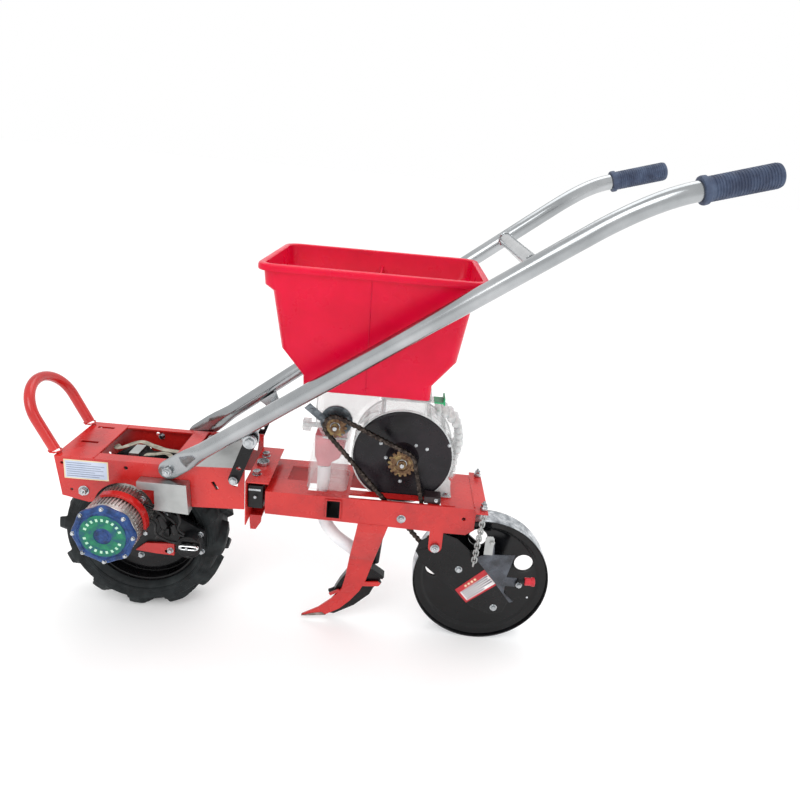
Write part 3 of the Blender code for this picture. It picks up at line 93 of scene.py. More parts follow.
def finish(name, tones, rough, patch=60, grain=1.2, lift=0.02, stretch=(1, 1, 1), metal=0.0,
           contrast=(0.35, 0.65), **sockets):
    """A surface whose colour drifts between tones over patches (mm), with a grain (mm) lifted by lift (mm).

    Roughness runs between its two values over the same grain. Sockets are the shader's own uniform values.
    """
    mat = bpy.data.materials.new(name)
    mat.use_nodes = True
    tree = mat.node_tree
    shader = tree.nodes["Principled BSDF"]
    place_node = add_node(mat, "ShaderNodeTexCoord")
    turn = add_node(mat, "ShaderNodeMapping", {"Scale": stretch}, Vector=place_node.outputs["Object"])
    cloud = add_node(mat, "ShaderNodeTexNoise", {"Scale": 1000 / patch, "Detail": 6.0, "Roughness": 0.62},
                     Vector=turn.outputs["Vector"])
    steps = np.linspace(contrast[0], contrast[1], len(tones))
    ramp = add_node(mat, "ShaderNodeValToRGB",
                    {"ramp": [(float(s), linear(t)) for s, t in zip(steps, tones)]},
                    Fac=cloud.outputs["Fac"])
    fine = add_node(mat, "ShaderNodeTexNoise", {"Scale": 1000 / grain, "Detail": 3.0, "Roughness": 0.55},
                    Vector=turn.outputs["Vector"])
    polish = add_node(mat, "ShaderNodeTexNoise", {"Scale": 1000 / (patch * 0.35), "Detail": 5.0},
                      Vector=turn.outputs["Vector"])
    spread = add_node(mat, "ShaderNodeMapRange",
                      {"From Min": 0.3, "From Max": 0.7, "To Min": rough[0], "To Max": rough[1]},
                      Value=polish.outputs["Fac"])
    bump = add_node(mat, "ShaderNodeBump", {"Strength": 1.0, "Distance": lift / 1000},
                    Height=fine.outputs["Fac"])
    tree.links.new(ramp.outputs["Color"], shader.inputs["Base Color"])
    tree.links.new(spread.outputs["Result"], shader.inputs["Roughness"])
    tree.links.new(bump.outputs["Normal"], shader.inputs["Normal"])
    shader.inputs["Metallic"].default_value = metal
    for key, value in sockets.items():
        shader.inputs[key.replace("_", " ")].default_value = value
    return mat


def grid_faces(rows, columns, wrap_rows=False, wrap_columns=False):
    """Quads of a rows x columns grid of points, joined end to end where it wraps."""
    i = np.arange(rows if wrap_rows else rows - 1)[:, None]
    j = np.arange(columns if wrap_columns else columns - 1)[None, :]
    after_i, after_j = (i + 1) % rows, (j + 1) % columns
    quads = [i * columns + j, i * columns + after_j, after_i * columns + after_j, after_i * columns + j]
    return np.stack(quads, axis=-1).reshape(-1, 4)


def make_piece(name, patches, mat, body, stands_for=(), bevel=0.0, sharp=38.0, ride=True):
    """One object from (points, faces) patches in axle measure: doubles merged, faces turned outwards."""
    points, faces, count = [], [], 0
    for spots, quads in patches:
        spots = np.asarray(spots, dtype=float).reshape(-1, 3)
        points.append(spots)
        faces += [[int(k) + count for k in q]
                  for q in (quads.tolist() if hasattr(quads, "tolist") else quads)]
        count += len(spots)
    mesh = bpy.data.meshes.new(name)
    mesh.from_pydata(place(np.concatenate(points)).tolist(), [], faces)
    shape = bmesh.new()
    shape.from_mesh(mesh)
    bmesh.ops.remove_doubles(shape, verts=shape.verts, dist=2e-6)
    bmesh.ops.recalc_face_normals(shape, faces=shape.faces)
    shape.to_mesh(mesh)
    shape.free()
    mesh.shade_smooth()
    mesh.set_sharp_from_angle(angle=math.radians(sharp))
    mesh.materials.append(mat)
    piece = bpy.data.objects.new(name, mesh)
    bpy.context.scene.collection.objects.link(piece)
    if bevel:
        edge = piece.modifiers.new("edge", "BEVEL")
        edge.width, edge.segments, edge.limit_method = bevel, 2, "ANGLE"
        edge.angle_limit = math.radians(40)
        edge.harden_normals = True
    if ride:
        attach(piece, body)
    if stands_for:
        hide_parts(*stands_for)
    return piece


# A pale matt floor that glows faintly, so it runs into the white room with no horizon.
floor_finish = finish("studio_floor_paint", ("#F1F1F1", "#F4F4F4"), (0.8, 0.9), patch=900, grain=4, lift=0.02,
                      Emission_Color=(1.0, 1.0, 1.0, 1.0), Emission_Strength=0.14, Specular_IOR_Level=0.1)
half_floor = 40.0
floor = make_piece("studio_floor", [(np.array([[-half_floor, -half_floor, 0.0],
                                               [half_floor, -half_floor, 0.0],
                                              [half_floor, half_floor, 0.0], [-half_floor, half_floor, 0.0]])
                                     + [0, 0, -0.0005], np.array([[0, 1, 2, 3]]))], floor_finish, None,
                                     ride=False)

camera_data = bpy.data.cameras.new("camera")
camera = bpy.data.objects.new("camera", camera_data)
bpy.context.scene.collection.objects.link(camera)
look = Vector((0.0077, 0.9585, -0.2850)).normalized()
side = Vector((0.9960, 0.0180, 0.0874))
side = (side - look * side.dot(look)).normalized()
rise = side.cross(look)
stand = Matrix((side, rise, -look)).transposed().to_4x4()
stand.translation = place([0.4752, -1.0776, 0.9180])
camera.matrix_world = stand
camera_data.sensor_width = 36.0
camera_data.lens = 27.44
camera_data.shift_x = -0.0055
camera_data.shift_y = -0.0711
camera_data.dof.use_dof = False
bpy.context.scene.camera = camera

world = bpy.data.worlds.new("studio_air")
world.use_nodes = True
world.node_tree.nodes["Background"].inputs["Color"].default_value = linear("#FFFFFF")
world.node_tree.nodes["Background"].inputs["Strength"].default_value = 1.0
bpy.context.scene.world = world
for name, spot, aim, size, power in (("key_softbox", (-0.7, -1.9, 2.4), (0.0, 0.0, 0.35), 1.5, 20),
                                     ("side_softbox", (2.2, -0.9, 1.5), (0.1, 0.0, 0.35), 1.2, 8),
                                     ("top_softbox", (0.2, 0.9, 2.6), (0.1, 0.0, 0.3), 1.6, 14)):
    lamp_data = bpy.data.lights.new(name, "AREA")
    lamp_data.size, lamp_data.energy = size, power
    lamp = bpy.data.objects.new(name, lamp_data)
    lamp.location = spot
    lamp.rotation_euler = (Vector(aim) - Vector(spot)).to_track_quat("-Z", "Y").to_euler()
    bpy.context.scene.collection.objects.link(lamp)
bpy.context.scene.view_settings.view_transform = "Standard"

# ---- Front tyre -----------------------------------------------------------------------
# A small tractor tyre of black rubber, moulded in one piece with slanting bar lugs that run
# from the middle of the tread down over the shoulder, left and right in turn.
tyre_radius = (tyre_high[2] - tyre_low[2]) / 2
tyre_half = (tyre_high[1] - tyre_low[1]) / 2
LUG = 0.0135
bead = 0.1112
# Moulded rubber: blue-black and dull, so the lugs read by their shape.
rubber = finish("moulded_tyre_rubber", ("#0A0E0F", "#14191B", "#242A2B"), (0.50, 0.8), patch=45, grain=1.6,
                lift=0.12,
                Specular_IOR_Level=0.30)


def turned(profile, centre, axis="y", count=64, closed=False):
    """Surface turned about an axis: profile rows are (radius, distance along the axis)."""
    profile = np.asarray(profile, dtype=float)
    around = np.linspace(0, 2 * np.pi, count, endpoint=False)
    radius, along = profile[:, 0][:, None], profile[:, 1][:, None]
    first, second = radius * np.cos(around), radius * np.sin(around)
    along = along + 0 * around
    order = {"x": (along, first, second), "y": (second, along, first), "z": (first, second, along)}[axis]
    spots = np.stack(order, axis=-1) + np.asarray(centre)
    return spots, grid_faces(len(profile), count, closed, True)


def smooth_line(points, count, closed=False):
    """count points at even steps along a Catmull-Rom line through the given points."""
    points = np.asarray(points, dtype=float)
    total = len(points)
    u = np.linspace(0, total if closed else total - 1, count, endpoint=not closed)
    i = np.minimum(u.astype(int), total - (1 if closed else 2))
    t = (u - i)[:, None]
    if closed:
        a, b, c, d = (points[(i + k) % total] for k in (-1, 0, 1, 2))
    else:
        long = np.concatenate([2 * points[:1] - points[1:2], points, 2 * points[-1:] - points[-2:-1]])
        a, b, c, d = (long[i + k] for k in range(4))
    return 0.5 * (2 * b + (c - a) * t + (2 * a - 5 * b + 4 * c - d) * t ** 2
                  + (3 * b - 3 * c + d - a) * t ** 3)


def rise_between(x, low, high):
    """0 below low, 1 above high, smooth between."""
    t = np.clip((x - low) / (high - low), 0, 1)
    return t * t * (3 - 2 * t)


tread = tyre_radius - LUG
outer_line = smooth_line([(bead, -0.60), (bead + 0.006, -0.80), (bead + 0.014, -0.93),
                          (bead + 0.0235, -0.985),
                          (tread - 0.008, -0.97), (tread - 0.001, -0.78), (tread + 0.0005, -0.35),
                          (tread + 0.001, 0.0), (tread + 0.0005, 0.35), (tread - 0.001, 0.78),
                          (tread - 0.008, 0.97),
                          (bead + 0.0235, 0.985), (bead + 0.014, 0.93), (bead + 0.006, 0.80), (bead, 0.60)],
                          85)
inner_line = smooth_line([(bead, 0.58), (bead + 0.010, 0.66), (tread - 0.016, 0.70), (tread - 0.013, 0.0),
                          (tread - 0.016, -0.70), (bead + 0.010, -0.66), (bead, -0.58)], 18)
tyre_line = np.concatenate([outer_line, inner_line])
steps = 12 * 44
turn_angle = np.linspace(0, 2 * np.pi, steps, endpoint=False)[:, None]
radius, across = tyre_line[:, 0][None, :], tyre_line[:, 1][None, :]
outside = (np.arange(len(tyre_line)) < len(outer_line))[None, :]
cycle = (turn_angle * 12 / (2 * np.pi) + 0.50 * np.abs(across) ** 1.25 + np.where(across > 0, 0.5, 0.0)) % 1
wide = 0.30 + 0.05 * np.abs(across)
lug = rise_between(cycle, 0.02, 0.07) * (1 - rise_between(cycle, wide, wide + 0.06))
reach = rise_between(np.abs(across), 0.015, 0.05) * rise_between(radius, bead + 0.016, tread - 0.008)
height = np.where(outside, lug * reach, 0.0) * np.where(radius > tread - 0.004, LUG, LUG * 0.55)
slope_r = np.gradient(tyre_line[:, 0])[None, :]
slope_y = np.gradient(tyre_line[:, 1] * tyre_half)[None, :]
length = np.hypot(slope_r, slope_y) + 1e-9
out_r, out_y = slope_y / length, -slope_r / length
ring = np.where((np.abs(across) > 0.88) & outside, 0.0006 * np.sin(radius * 2400), 0.0)
new_r = np.minimum(radius + (height + ring) * out_r, tyre_radius)
new_y = np.clip(across * tyre_half + (height * 0.35 + ring) * out_y, -tyre_half, tyre_half)
tyre_points = np.stack([new_r * np.cos(turn_angle), new_y + 0 * turn_angle,
                        tyre_radius + new_r * np.sin(turn_angle)], axis=-1)
make_piece("front_tyre", [(tyre_points, grid_faces(steps, len(tyre_line), True, True))], rubber,
           "front_wheel", ("tyre",), sharp=50)

# ---- Front rim and axle ---------------------------------------------------------------
# Two pressed steel dishes welded to a hub and stoved with black enamel. Five bolts hold the
# hub. The axle is a bright turned bar.
black_stove = finish("black_stoved_enamel", ("#040405", "#09090B", "#121113"), (0.16, 0.40), patch=70,
                     grain=3.0,
                     lift=0.03, Specular_IOR_Level=0.28)
# Bright zinc: small pale highlights that pick out each bolt head and washer.
bright_zinc = finish("bright_zinc_plating", ("#95999C", "#AFB3B6", "#C6C9CB"), (0.16, 0.36), patch=14,
                     grain=1.0,
                     lift=0.015, metal=1.0)
hub = (0.0, 0.0, tyre_radius)
rim_line = smooth_line([(bead - 0.001, -0.0262), (bead - 0.0006, -0.0255), (bead - 0.0006, 0.0255),
                        (bead - 0.001, 0.0262), (bead - 0.0045, 0.0258), (bead - 0.0050, 0.0240),
                        (bead - 0.0055, 0.0), (0.0985, -0.0040), (0.0900, -0.0070), (0.0700, -0.0060),
                        (0.0500, -0.0072), (0.0330, -0.0060), (0.0300, 0.0020), (0.0300, 0.0360),
                        (0.0280, 0.0380),
                        (0.0106, 0.0380), (0.0106, -0.0380), (0.0280, -0.0380), (0.0300, -0.0360),
                        (0.0300, -0.0120), (0.0340, -0.0110), (0.0500, -0.0118), (0.0700, -0.0105),
                        (0.0900, -0.0116), (0.0990, -0.0090), (bead - 0.0060, -0.0060),
                        (bead - 0.0050, -0.0240),
                        (bead - 0.0045, -0.0258)], 190, closed=True)


def hexagon(centre, axis, across_flats, low, high, sides=6):
    """A hex head or nut: a six-sided prism with its ends turned down to a chamfer."""
    corner = across_flats / 2 / math.cos(math.pi / sides)
    cham = 0.12 * across_flats
    line = [(0, low), (corner - cham * 0.6, low), (corner, low + cham * 0.35), (corner, high - cham * 0.35),
            (corner - cham * 0.6, high), (0, high)]
    return turned(line, centre, axis, sides)


def washer(centre, axis, radius, low, high):
    """A plain washer with broken edges."""
    edge = (high - low) * 0.3
    line = [(0, low), (radius - edge, low), (radius, low + edge), (radius, high - edge),
            (radius - edge, high), (0, high)]
    return turned(line, centre, axis, 24)


def stud(centre, axis, radius, low, high):
    """A bolt's end with a rounded tip."""
    return turned([(0, low), (radius * 0.8, low), (radius, low + (high - low) * 0.2),
                   (radius, high - (high - low) * 0.2),
                   (radius * 0.7, high), (0, high)], centre, axis, 16)


make_piece("front_rim_dish", [turned(rim_line, hub, "y", 96, closed=True)], black_stove, "front_wheel",
           ("front_rim",), sharp=55)
fifth = np.arange(5) * 2 * np.pi / 5 + 0.3
rim_bolts = []
for a in fifth:
    spot = (0.0395 * math.cos(a), 0.0, tyre_radius + 0.0395 * math.sin(a))
    rim_bolts += [washer(spot, "y", 0.0075, -0.0135, -0.0112), hexagon(spot, "y", 0.0100, -0.0190, -0.0135),
                  hexagon(spot, "y", 0.0100, -0.0068, -0.0005)]
make_piece("rim_bolts", rim_bolts, bright_zinc, "front_wheel", sharp=30)


def dress(name, mat, width=0.0):
    """Gives a CAD node its finish and breaks its sharp edges by width."""
    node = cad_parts[name]
    node.data.materials.clear()
    node.data.materials.append(mat)
    if width:
        weld = node.modifiers.new("weld", "WELD")
        weld.merge_threshold = 1e-5
        edge = node.modifiers.new("edge", "BEVEL")
        edge.width, edge.segments, edge.limit_method = width, 2, "ANGLE"
        edge.angle_limit = math.radians(50)
    return node


dress("front_axle", bright_zinc)

# ---- Gearbox and shelf ----------------------------------------------------------------
# A black painted iron case carries the axle's near end. A round boss takes the clutch shaft,
# whose bright fork is moved by hand. A red steel shelf is bolted across its lower half.
cast_black = finish("black_painted_casting", ("#060709", "#0E1012", "#1A1B1D"), (0.30, 0.55), patch=30,
                    grain=1.5,
                    lift=0.10, Specular_IOR_Level=0.32)
# Brushed-on enamel: slightly uneven red under a thin gloss coat.
red_enamel = finish("red_brushed_enamel", ("#9A1413", "#BE1E1C", "#CC2822"), (0.18, 0.34), patch=110,
                    grain=2.2,
                    lift=0.05, contrast=(0.30, 0.70), Coat_Weight=0.20, Coat_Roughness=0.12)
# Chrome: the brightest metal, for the slotted tongue of the shift lever.
chrome = finish("chrome_plating", ("#B9BCBE", "#DADCDD", "#F0F1F1"), (0.06, 0.16), patch=20, grain=1.0,
                lift=0.004,
                metal=1.0)
# Black sheath: the cables, plugs and seed hose, and also painted shade in the hitch gap and the socket's
# hollow; a dark gap in which the bright parts stand out.
black_sheath_and_shade = finish("black_cable_sheath", ("#060607", "#0F0F11"), (0.30, 0.5), patch=15, grain=0.8,
                     lift=0.02,
                     Specular_IOR_Level=0.35)
dress("gearbox", cast_black, 0.0016)
dress("motor_shelf", red_enamel, 0.0007)
dress("far_fork", red_enamel, 0.0008)


def swept(path, high, broad=None, sides=24, reference=(0.0, 1.0, 0.0), capped=True):
    """Bar along a path: an oval of half sizes high and broad, broad lying nearest the reference direction."""
    path = np.asarray(path, dtype=float)
    rows = len(path)
    high = np.broadcast_to(np.asarray(high, dtype=float), rows)[:, None, None]
    broad = high if broad is None else np.broadcast_to(np.asarray(broad, dtype=float), rows)[:, None, None]
    along = np.gradient(path, axis=0)
    along /= np.linalg.norm(along, axis=1, keepdims=True)
    wide = np.asarray(reference) - along * (along @ np.asarray(reference))[:, None]
    wide /= np.linalg.norm(wide, axis=1, keepdims=True)
    tall = np.cross(along, wide)
    around = np.linspace(0, 2 * np.pi, sides, endpoint=False)[None, :, None]
    spots = path[:, None] + high * np.cos(around) * tall[:, None] + broad * np.sin(around) * wide[:, None]
    faces = grid_faces(rows, sides, False, True).tolist()
    if capped:
        faces += [list(range(sides)), list(range(rows * sides - sides, rows * sides))]
    return spots, faces


def plate(outline, low, high):
    """Flat plate: an outline in x and z, given its thickness between two values of y."""
    outline = np.asarray(outline, dtype=float)
    count = len(outline)
    spots = [np.column_stack([outline[:, 0], np.full(count, y), outline[:, 1]]) for y in (low, high)]
    faces = grid_faces(2, count, False, True).tolist() + [list(range(count)), list(range(count, 2 * count))]
    return np.concatenate(spots), faces


def slab(x, y, z):
    """A block between pairs of limits."""
    return plate([(x[0], z[0]), (x[1], z[0]), (x[1], z[1]), (x[0], z[1])], y[0], y[1])


boss = (0.1070, 0.0, 0.1760)
make_piece("clutch_boss_rings", [turned([(0.0, -0.0812), (0.0100, -0.0812), (0.0110, -0.0806),
                                         (0.0110, -0.0785),
                                         (0.0200, -0.0785), (0.0206, -0.0792), (0.0232, -0.0792),
                                         (0.0238, -0.0784),
                                         (0.0238, -0.0778), (0.0, -0.0778)], boss, "y", 48)], black_stove,
           "front_frame")
fork = [swept(smooth_line([(0.0960, -0.0850, 0.1775), (0.1140, -0.0850, 0.1775), (0.1235, -0.0850, 0.1780),
                           (0.1275, -0.0850, 0.1810), (0.1235, -0.0850, 0.1842), (0.1140, -0.0850, 0.1848),
                           (0.0960, -0.0850, 0.1848)], 30), 0.0019, 0.0040, 12),
        turned([(0, 0.0925), (0.0042, 0.0925), (0.0048, 0.0932), (0.0048, 0.0975), (0.0042, 0.0980),
                (0, 0.0980)],
               (0, -0.0850, 0.1812), "x", 20),
        stud((boss[0], 0, 0.1812), "y", 0.0028, -0.0905, -0.0780)]
make_piece("shift_fork", fork, chrome, "front_frame")
case_bolts = []
for x, z in ((-0.0300, 0.1560), (0.0080, 0.1370), (0.0600, 0.1530), (0.1260, 0.1560), (0.1240, 0.1930),
             (0.0560, 0.2300)):
    case_bolts += [washer((x, 0, z), "y", 0.0062, -0.0596, -0.0584),
                   hexagon((x, 0, z), "y", 0.0080, -0.0640, -0.0596)]
case_bolts += [washer((0.0670, 0, 0.1560), "y", 0.0062, -0.0650, -0.0640),
               hexagon((0.0670, 0, 0.1560), "y", 0.0080, -0.0700, -0.0650)]
make_piece("case_bolts", case_bolts, bright_zinc, "front_frame", sharp=30)
cables = [([(0.0300, -0.0900, 0.2700), (0.0500, -0.0900, 0.2620), (0.0660, -0.0850, 0.2400),
            (0.0640, -0.0780, 0.2150),
            (0.0500, -0.0720, 0.1960), (0.0420, -0.0680, 0.1850)], 0.0030),
          ([(0.0360, -0.0820, 0.2620), (0.0600, -0.0820, 0.2480), (0.0820, -0.0800, 0.2300),
            (0.0860, -0.0780, 0.2080),
            (0.0980, -0.0760, 0.1980)], 0.0026),
          ([(0.0340, -0.1000, 0.2500), (0.0520, -0.0960, 0.2350), (0.0500, -0.0860, 0.2060),
            (0.0700, -0.0800, 0.1880),
            (0.0860, -0.0780, 0.1840)], 0.0024),
          ([(0.0900, -0.0880, 0.2600), (0.0960, -0.0880, 0.2400), (0.0900, -0.0820, 0.2180),
            (0.1000, -0.0790, 0.2050)],
           0.0022),
          ([(0.0200, -0.0700, 0.2900), (0.0340, -0.0700, 0.2960), (0.0480, -0.0740, 0.2860),
            (0.0560, -0.0820, 0.2660),
            (0.0520, -0.0800, 0.2480)], 0.0026)]
make_piece("motor_cables", [swept(smooth_line(points, 40), r, sides=12,
                                  reference=(0.2, 1.0, 0.1)) for points, r in cables],
           black_sheath_and_shade, "front_frame")
plugs = [swept([(0.0560, -0.0860, 0.2460), (0.0565, -0.0860, 0.2450), (0.0660, -0.0845, 0.2230),
                (0.0665, -0.0845, 0.2220)],
               [0.0055, 0.0070, 0.0070, 0.0055], sides=16),
         swept([(0.0800, -0.0800, 0.2260), (0.0805, -0.0800, 0.2250), (0.0850, -0.0790, 0.2060),
                (0.0852, -0.0790, 0.2050)],
               [0.0050, 0.0064, 0.0064, 0.0050], sides=16),
         slab((0.0520, 0.0700), (-0.0760, -0.0650), (0.1940, 0.2120))]
make_piece("cable_plugs", plugs, black_sheath_and_shade, "front_frame", bevel=0.0008)

# ---- Drive motor ----------------------------------------------------------------------
# A die-cast aluminium barrel with lengthwise cooling fins. Its blue painted end cap has eight
# screwed ears and a green ring, on which plain bars stand in for lettering.
fin_aluminium = finish("die_cast_aluminium", ("#A5A29E", "#BDBBB8", "#CFCDCA"), (0.34, 0.52), patch=25,
                       grain=0.9,
                       lift=0.05, metal=1.0)
# Blue paint: uneven and half-dull, the colour the motor is noticed by.
cap_blue = finish("blue_motor_paint", ("#0F2A50", "#1B3C74", "#285088"), (0.28, 0.45), patch=14, grain=1.2,
                  lift=0.04,
                  Specular_IOR_Level=0.35)
# Green ring: runs from blue-green to grass green like worn print.
ring_green = finish("green_ring_paint", ("#16486A", "#0E6B52", "#22805C"), (0.35, 0.5), patch=16, grain=1.0,
                    lift=0.02,
                    Specular_IOR_Level=0.35)
# Pale mint print: a ring of plain bars in place of lettering.
mint_bars = finish("mint_print", ("#9CCFB2", "#C4E6D0"), (0.4, 0.5), patch=10, grain=1.0, lift=0.01)
motor_low, motor_high = (np.array(c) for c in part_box("motor_casing"))
motor_x, motor_z = -0.0140, 0.2433
fins = 52
turn_angle = np.linspace(0, 2 * np.pi, fins * 10, endpoint=False)
tooth = rise_between(np.abs((turn_angle * fins / (2 * np.pi)) % 1 - 0.5), 0.20, 0.30)
rows = np.array([(motor_low[1], 0.72), (motor_low[1], 0.955), (motor_low[1] + 0.0015, 0.985),
                 (motor_low[1] + 0.009, 0.985),
                 (motor_low[1] + 0.0095, 1.0), (motor_high[1] - 0.0160, 1.0), (motor_high[1] - 0.0155, 0.97),
                 (motor_high[1] - 0.001, 0.97), (motor_high[1], 0.955), (motor_high[1], 0.72)])
deep = np.array([0, 0, 0, 0, 1, 1, 0, 0, 0, 0])[:, None]
r = 0.0540 * rows[:, 1][:, None] - 0.0030 * (1 - tooth)[None, :] * deep
casing = np.stack([motor_x + r * np.cos(turn_angle), rows[:, 0][:, None] + 0 * r,
                   motor_z + r * np.sin(turn_angle)], -1)
count = len(turn_angle)
make_piece("motor_barrel", [(casing, grid_faces(len(rows), count, False, True).tolist()
                             + [list(range(count)), list(range(9 * count, 10 * count))])], fin_aluminium,
           "front_frame", ("motor_casing",), sharp=30)
cap_face = motor_low[1] - 0.0104
cap_line = np.array([(0.0, 0.0), (0.18, -0.0002), (0.19, 0.0006), (0.36, 0.0006), (0.37, -0.0002),
                     (0.74, -0.0002),
                     (0.755, 0.0008), (0.80, 0.0008), (0.82, -0.0008), (0.86, -0.0008), (0.885, 0.0014),
                     (0.965, 0.0016),
                     (0.99, 0.0026), (1.0, 0.0040), (1.0, 0.0088), (0.985, 0.0100), (0.0, 0.0100)])
turn_angle = np.linspace(0, 2 * np.pi, 192, endpoint=False)
edge_r = 0.0556 + 0.0016 * np.cos(8 * turn_angle)
r = cap_line[:, 0][:, None] * edge_r[None, :]
cap_points = np.stack([motor_x + r * np.cos(turn_angle), cap_face + cap_line[:, 1][:, None] + 0 * r,
                       motor_z + r * np.sin(turn_angle)], -1)
make_piece("motor_end_cap", [(cap_points, grid_faces(len(cap_line), 192, False, True))], cap_blue,
           "front_frame",
           ("motor_cap",), sharp=35)
motor_spot = (motor_x, 0, motor_z)
make_piece("cap_ring", [turned([(0.0165, cap_face - 0.0006), (0.0410, cap_face - 0.0006),
                                (0.0415, cap_face + 0.0001),
                                (0.0160, cap_face + 0.0001)], motor_spot, "y", 72, closed=True)], ring_green,
           "front_frame")
turn_angle = np.concatenate([np.linspace(0.35, 2.75, 9), np.linspace(3.35, 5.85, 9)])
bar = np.array([(-0.0021, 0, -0.0027), (0.0021, 0, -0.0027), (0.0021, 0, 0.0027), (-0.0021, 0, 0.0027),
                (-0.0021, -0.0003, -0.0027), (0.0021, -0.0003, -0.0027), (0.0021, -0.0003, 0.0027),
                (-0.0021, -0.0003, 0.0027)])
bar_faces = np.array([(0, 1, 2, 3), (4, 7, 6, 5), (0, 4, 5, 1), (1, 5, 6, 2), (2, 6, 7, 3), (3, 7, 4, 0)])


def copies(template, faces, origins, first, third, second=(0.0, 1.0, 0.0)):
    """The template repeated at each origin, its own x and z laid along the rows of first and third."""
    template = np.asarray(template)
    origins = np.asarray(origins)
    first, third = np.asarray(first)[:, None], np.asarray(third)[:, None]
    second = np.broadcast_to(np.asarray(second), origins.shape)[:, None]
    spots = (origins[:, None] + template[None, :, :1] * first + template[None, :, 1:2] * second
             + template[None, :, 2:] * third)
    shift = (np.arange(len(origins)) * len(template))[:, None, None]
    return spots, (np.asarray(faces)[None] + shift).reshape(-1, np.asarray(faces).shape[1])


out = np.stack([np.cos(turn_angle), 0 * turn_angle, np.sin(turn_angle)], -1)
along = np.stack([-np.sin(turn_angle), 0 * turn_angle, np.cos(turn_angle)], -1)
spots = np.array([motor_x, cap_face - 0.0005, motor_z]) + 0.0325 * out
make_piece("cap_bars", [copies(bar, bar_faces, spots, along, out)], mint_bars, "front_frame")
screws = []
for k in range(8):
    a = math.pi / 4 * k
    spot = (motor_x + 0.0530 * math.cos(a), 0, motor_z + 0.0530 * math.sin(a))
    screws += [washer(spot, "y", 0.0040, cap_face + 0.0006, cap_face + 0.0016),
               stud(spot, "y", 0.0030, cap_face - 0.0022, cap_face + 0.0008)]
make_piece("cap_screws", screws, bright_zinc, "front_frame")
dress("motor_strap", red_enamel, 0.0006)
strap_bolt = hexagon((0.0455, 0, 0.2310), "y", 0.0075, -0.1230, -0.1185)
make_piece("strap_bolt", [strap_bolt], bright_zinc, "front_frame", sharp=30)

# ---- Chassis --------------------------------------------------------------------------
# Folded and welded 3 mm sheet, brushed with red enamel. The motor's leads go up under a bright
# zinc cover; a galvanised sheet closes the rear over the wheel. A plain data plate is stuck on.
galvanised = finish("galvanised_sheet", ("#A2A4A3", "#B0B2B1", "#BDBFBE"), (0.30, 0.44), patch=40, grain=1.4,
                    lift=0.01,
                    metal=1.0, contrast=(0.25, 0.75))
# Pale blue foil: a light, flat patch on the red wall.
label_paper = finish("label_foil", ("#B9C4DA", "#C9D2E4"), (0.35, 0.45), patch=30, grain=2, lift=0.01)
# Gold print: a thin warm edge round the foil.
label_frame = finish("label_gold_print", ("#D9C9A0", "#E6DAB8"), (0.35, 0.45), patch=30, grain=2, lift=0.01)
# Grey-blue ink: plain lines in place of text.
label_ink = finish("label_ink", ("#6C7890", "#7F8AA0"), (0.4, 0.5), patch=30, grain=2, lift=0.01)
dress("chassis", red_enamel, 0.0007)
dress("rear_guard", galvanised, 0.0005)
dress("drive_cover", galvanised, 0.0005)
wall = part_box("chassis")[0][1]
make_piece("data_plate_border", [slab((-0.1215, -0.0395), (wall - 0.0004, wall - 0.00005),
                                      (0.3025, 0.3415))], label_frame,
           "front_frame")
make_piece("data_plate", [slab((-0.1190, -0.0420), (wall - 0.0006, wall - 0.0003), (0.3048, 0.3392))],
           label_paper,
           "front_frame")
rows_of_print = [slab((-0.1165, -0.1165 + width), (wall - 0.0008, wall - 0.0005), (z, z + 0.0011))
                 for z, width in zip(np.linspace(0.3080, 0.3345, 7),
                                     (0.060, 0.069, 0.052, 0.068, 0.063, 0.070, 0.046))]
make_piece("data_plate_lines", rows_of_print, label_ink, "front_frame")
weld_bead = []
bead_u = np.linspace(0, 1, 60)[:, None]
for start, end in (((-0.0675, -0.0725, 0.3468), (-0.0675, 0.0725, 0.3468)),
                   ((0.0975, -0.0725, 0.3468), (0.0975, 0.0725, 0.3468))):
    line = np.array(start) * (1 - bead_u) + np.array(end) * bead_u
    weld_bead.append(swept(line, 0.0011 + 0.00035 * np.sin(bead_u[:, 0] * 190), 0.0016, 8,
                           reference=(1.0, 0.0, 0.0)))
make_piece("chassis_welds", weld_bead, red_enamel, "front_frame")
wall_bolts = []
for x, z, size in ((-0.0873, 0.2790, 0.0125), ):
    wall_bolts += [washer((x, 0, z), "y", size * 0.80, wall - 0.0012, wall - 0.0002),
                   hexagon((x, 0, z), "y", size, wall - 0.0075, wall - 0.0012),
                   stud((x, 0, z), "y", 0.0030, wall - 0.0105, wall - 0.0070)]
for x, z in ((0.0008, 0.3290), (-0.1000, 0.3200), (0.1500, 0.3200)):
    wall_bolts += [washer((x, 0, z), "y", 0.0075, -wall + 0.0002, -wall + 0.0014),
                   hexagon((x, 0, z), "y", 0.0100, -wall + 0.0014, -wall + 0.0060)]
wall_bolts += [washer((0.0008, 0, 0.3290), "y", 0.0065, 0.0712, 0.0722),
               hexagon((0.0008, 0, 0.3290), "y", 0.0090, 0.0665, 0.0712)]
wall_bolts += [washer((0.0310, 0, 0.2850), "y", 0.0058, -0.0972, -0.0963),
               hexagon((0.0310, 0, 0.2850), "y", 0.0080, -0.1010, -0.0972)]
make_piece("chassis_bolts", wall_bolts, bright_zinc, "front_frame", sharp=30)
bracket = [slab((-0.0215, -0.0030), (-0.0310, -0.0290), (0.3290, 0.3400)),
           slab((-0.0215, -0.0030), (-0.0310, 0.0060), (0.3390, 0.3405))]
make_piece("inner_bracket", bracket, galvanised, "front_frame", bevel=0.0004)
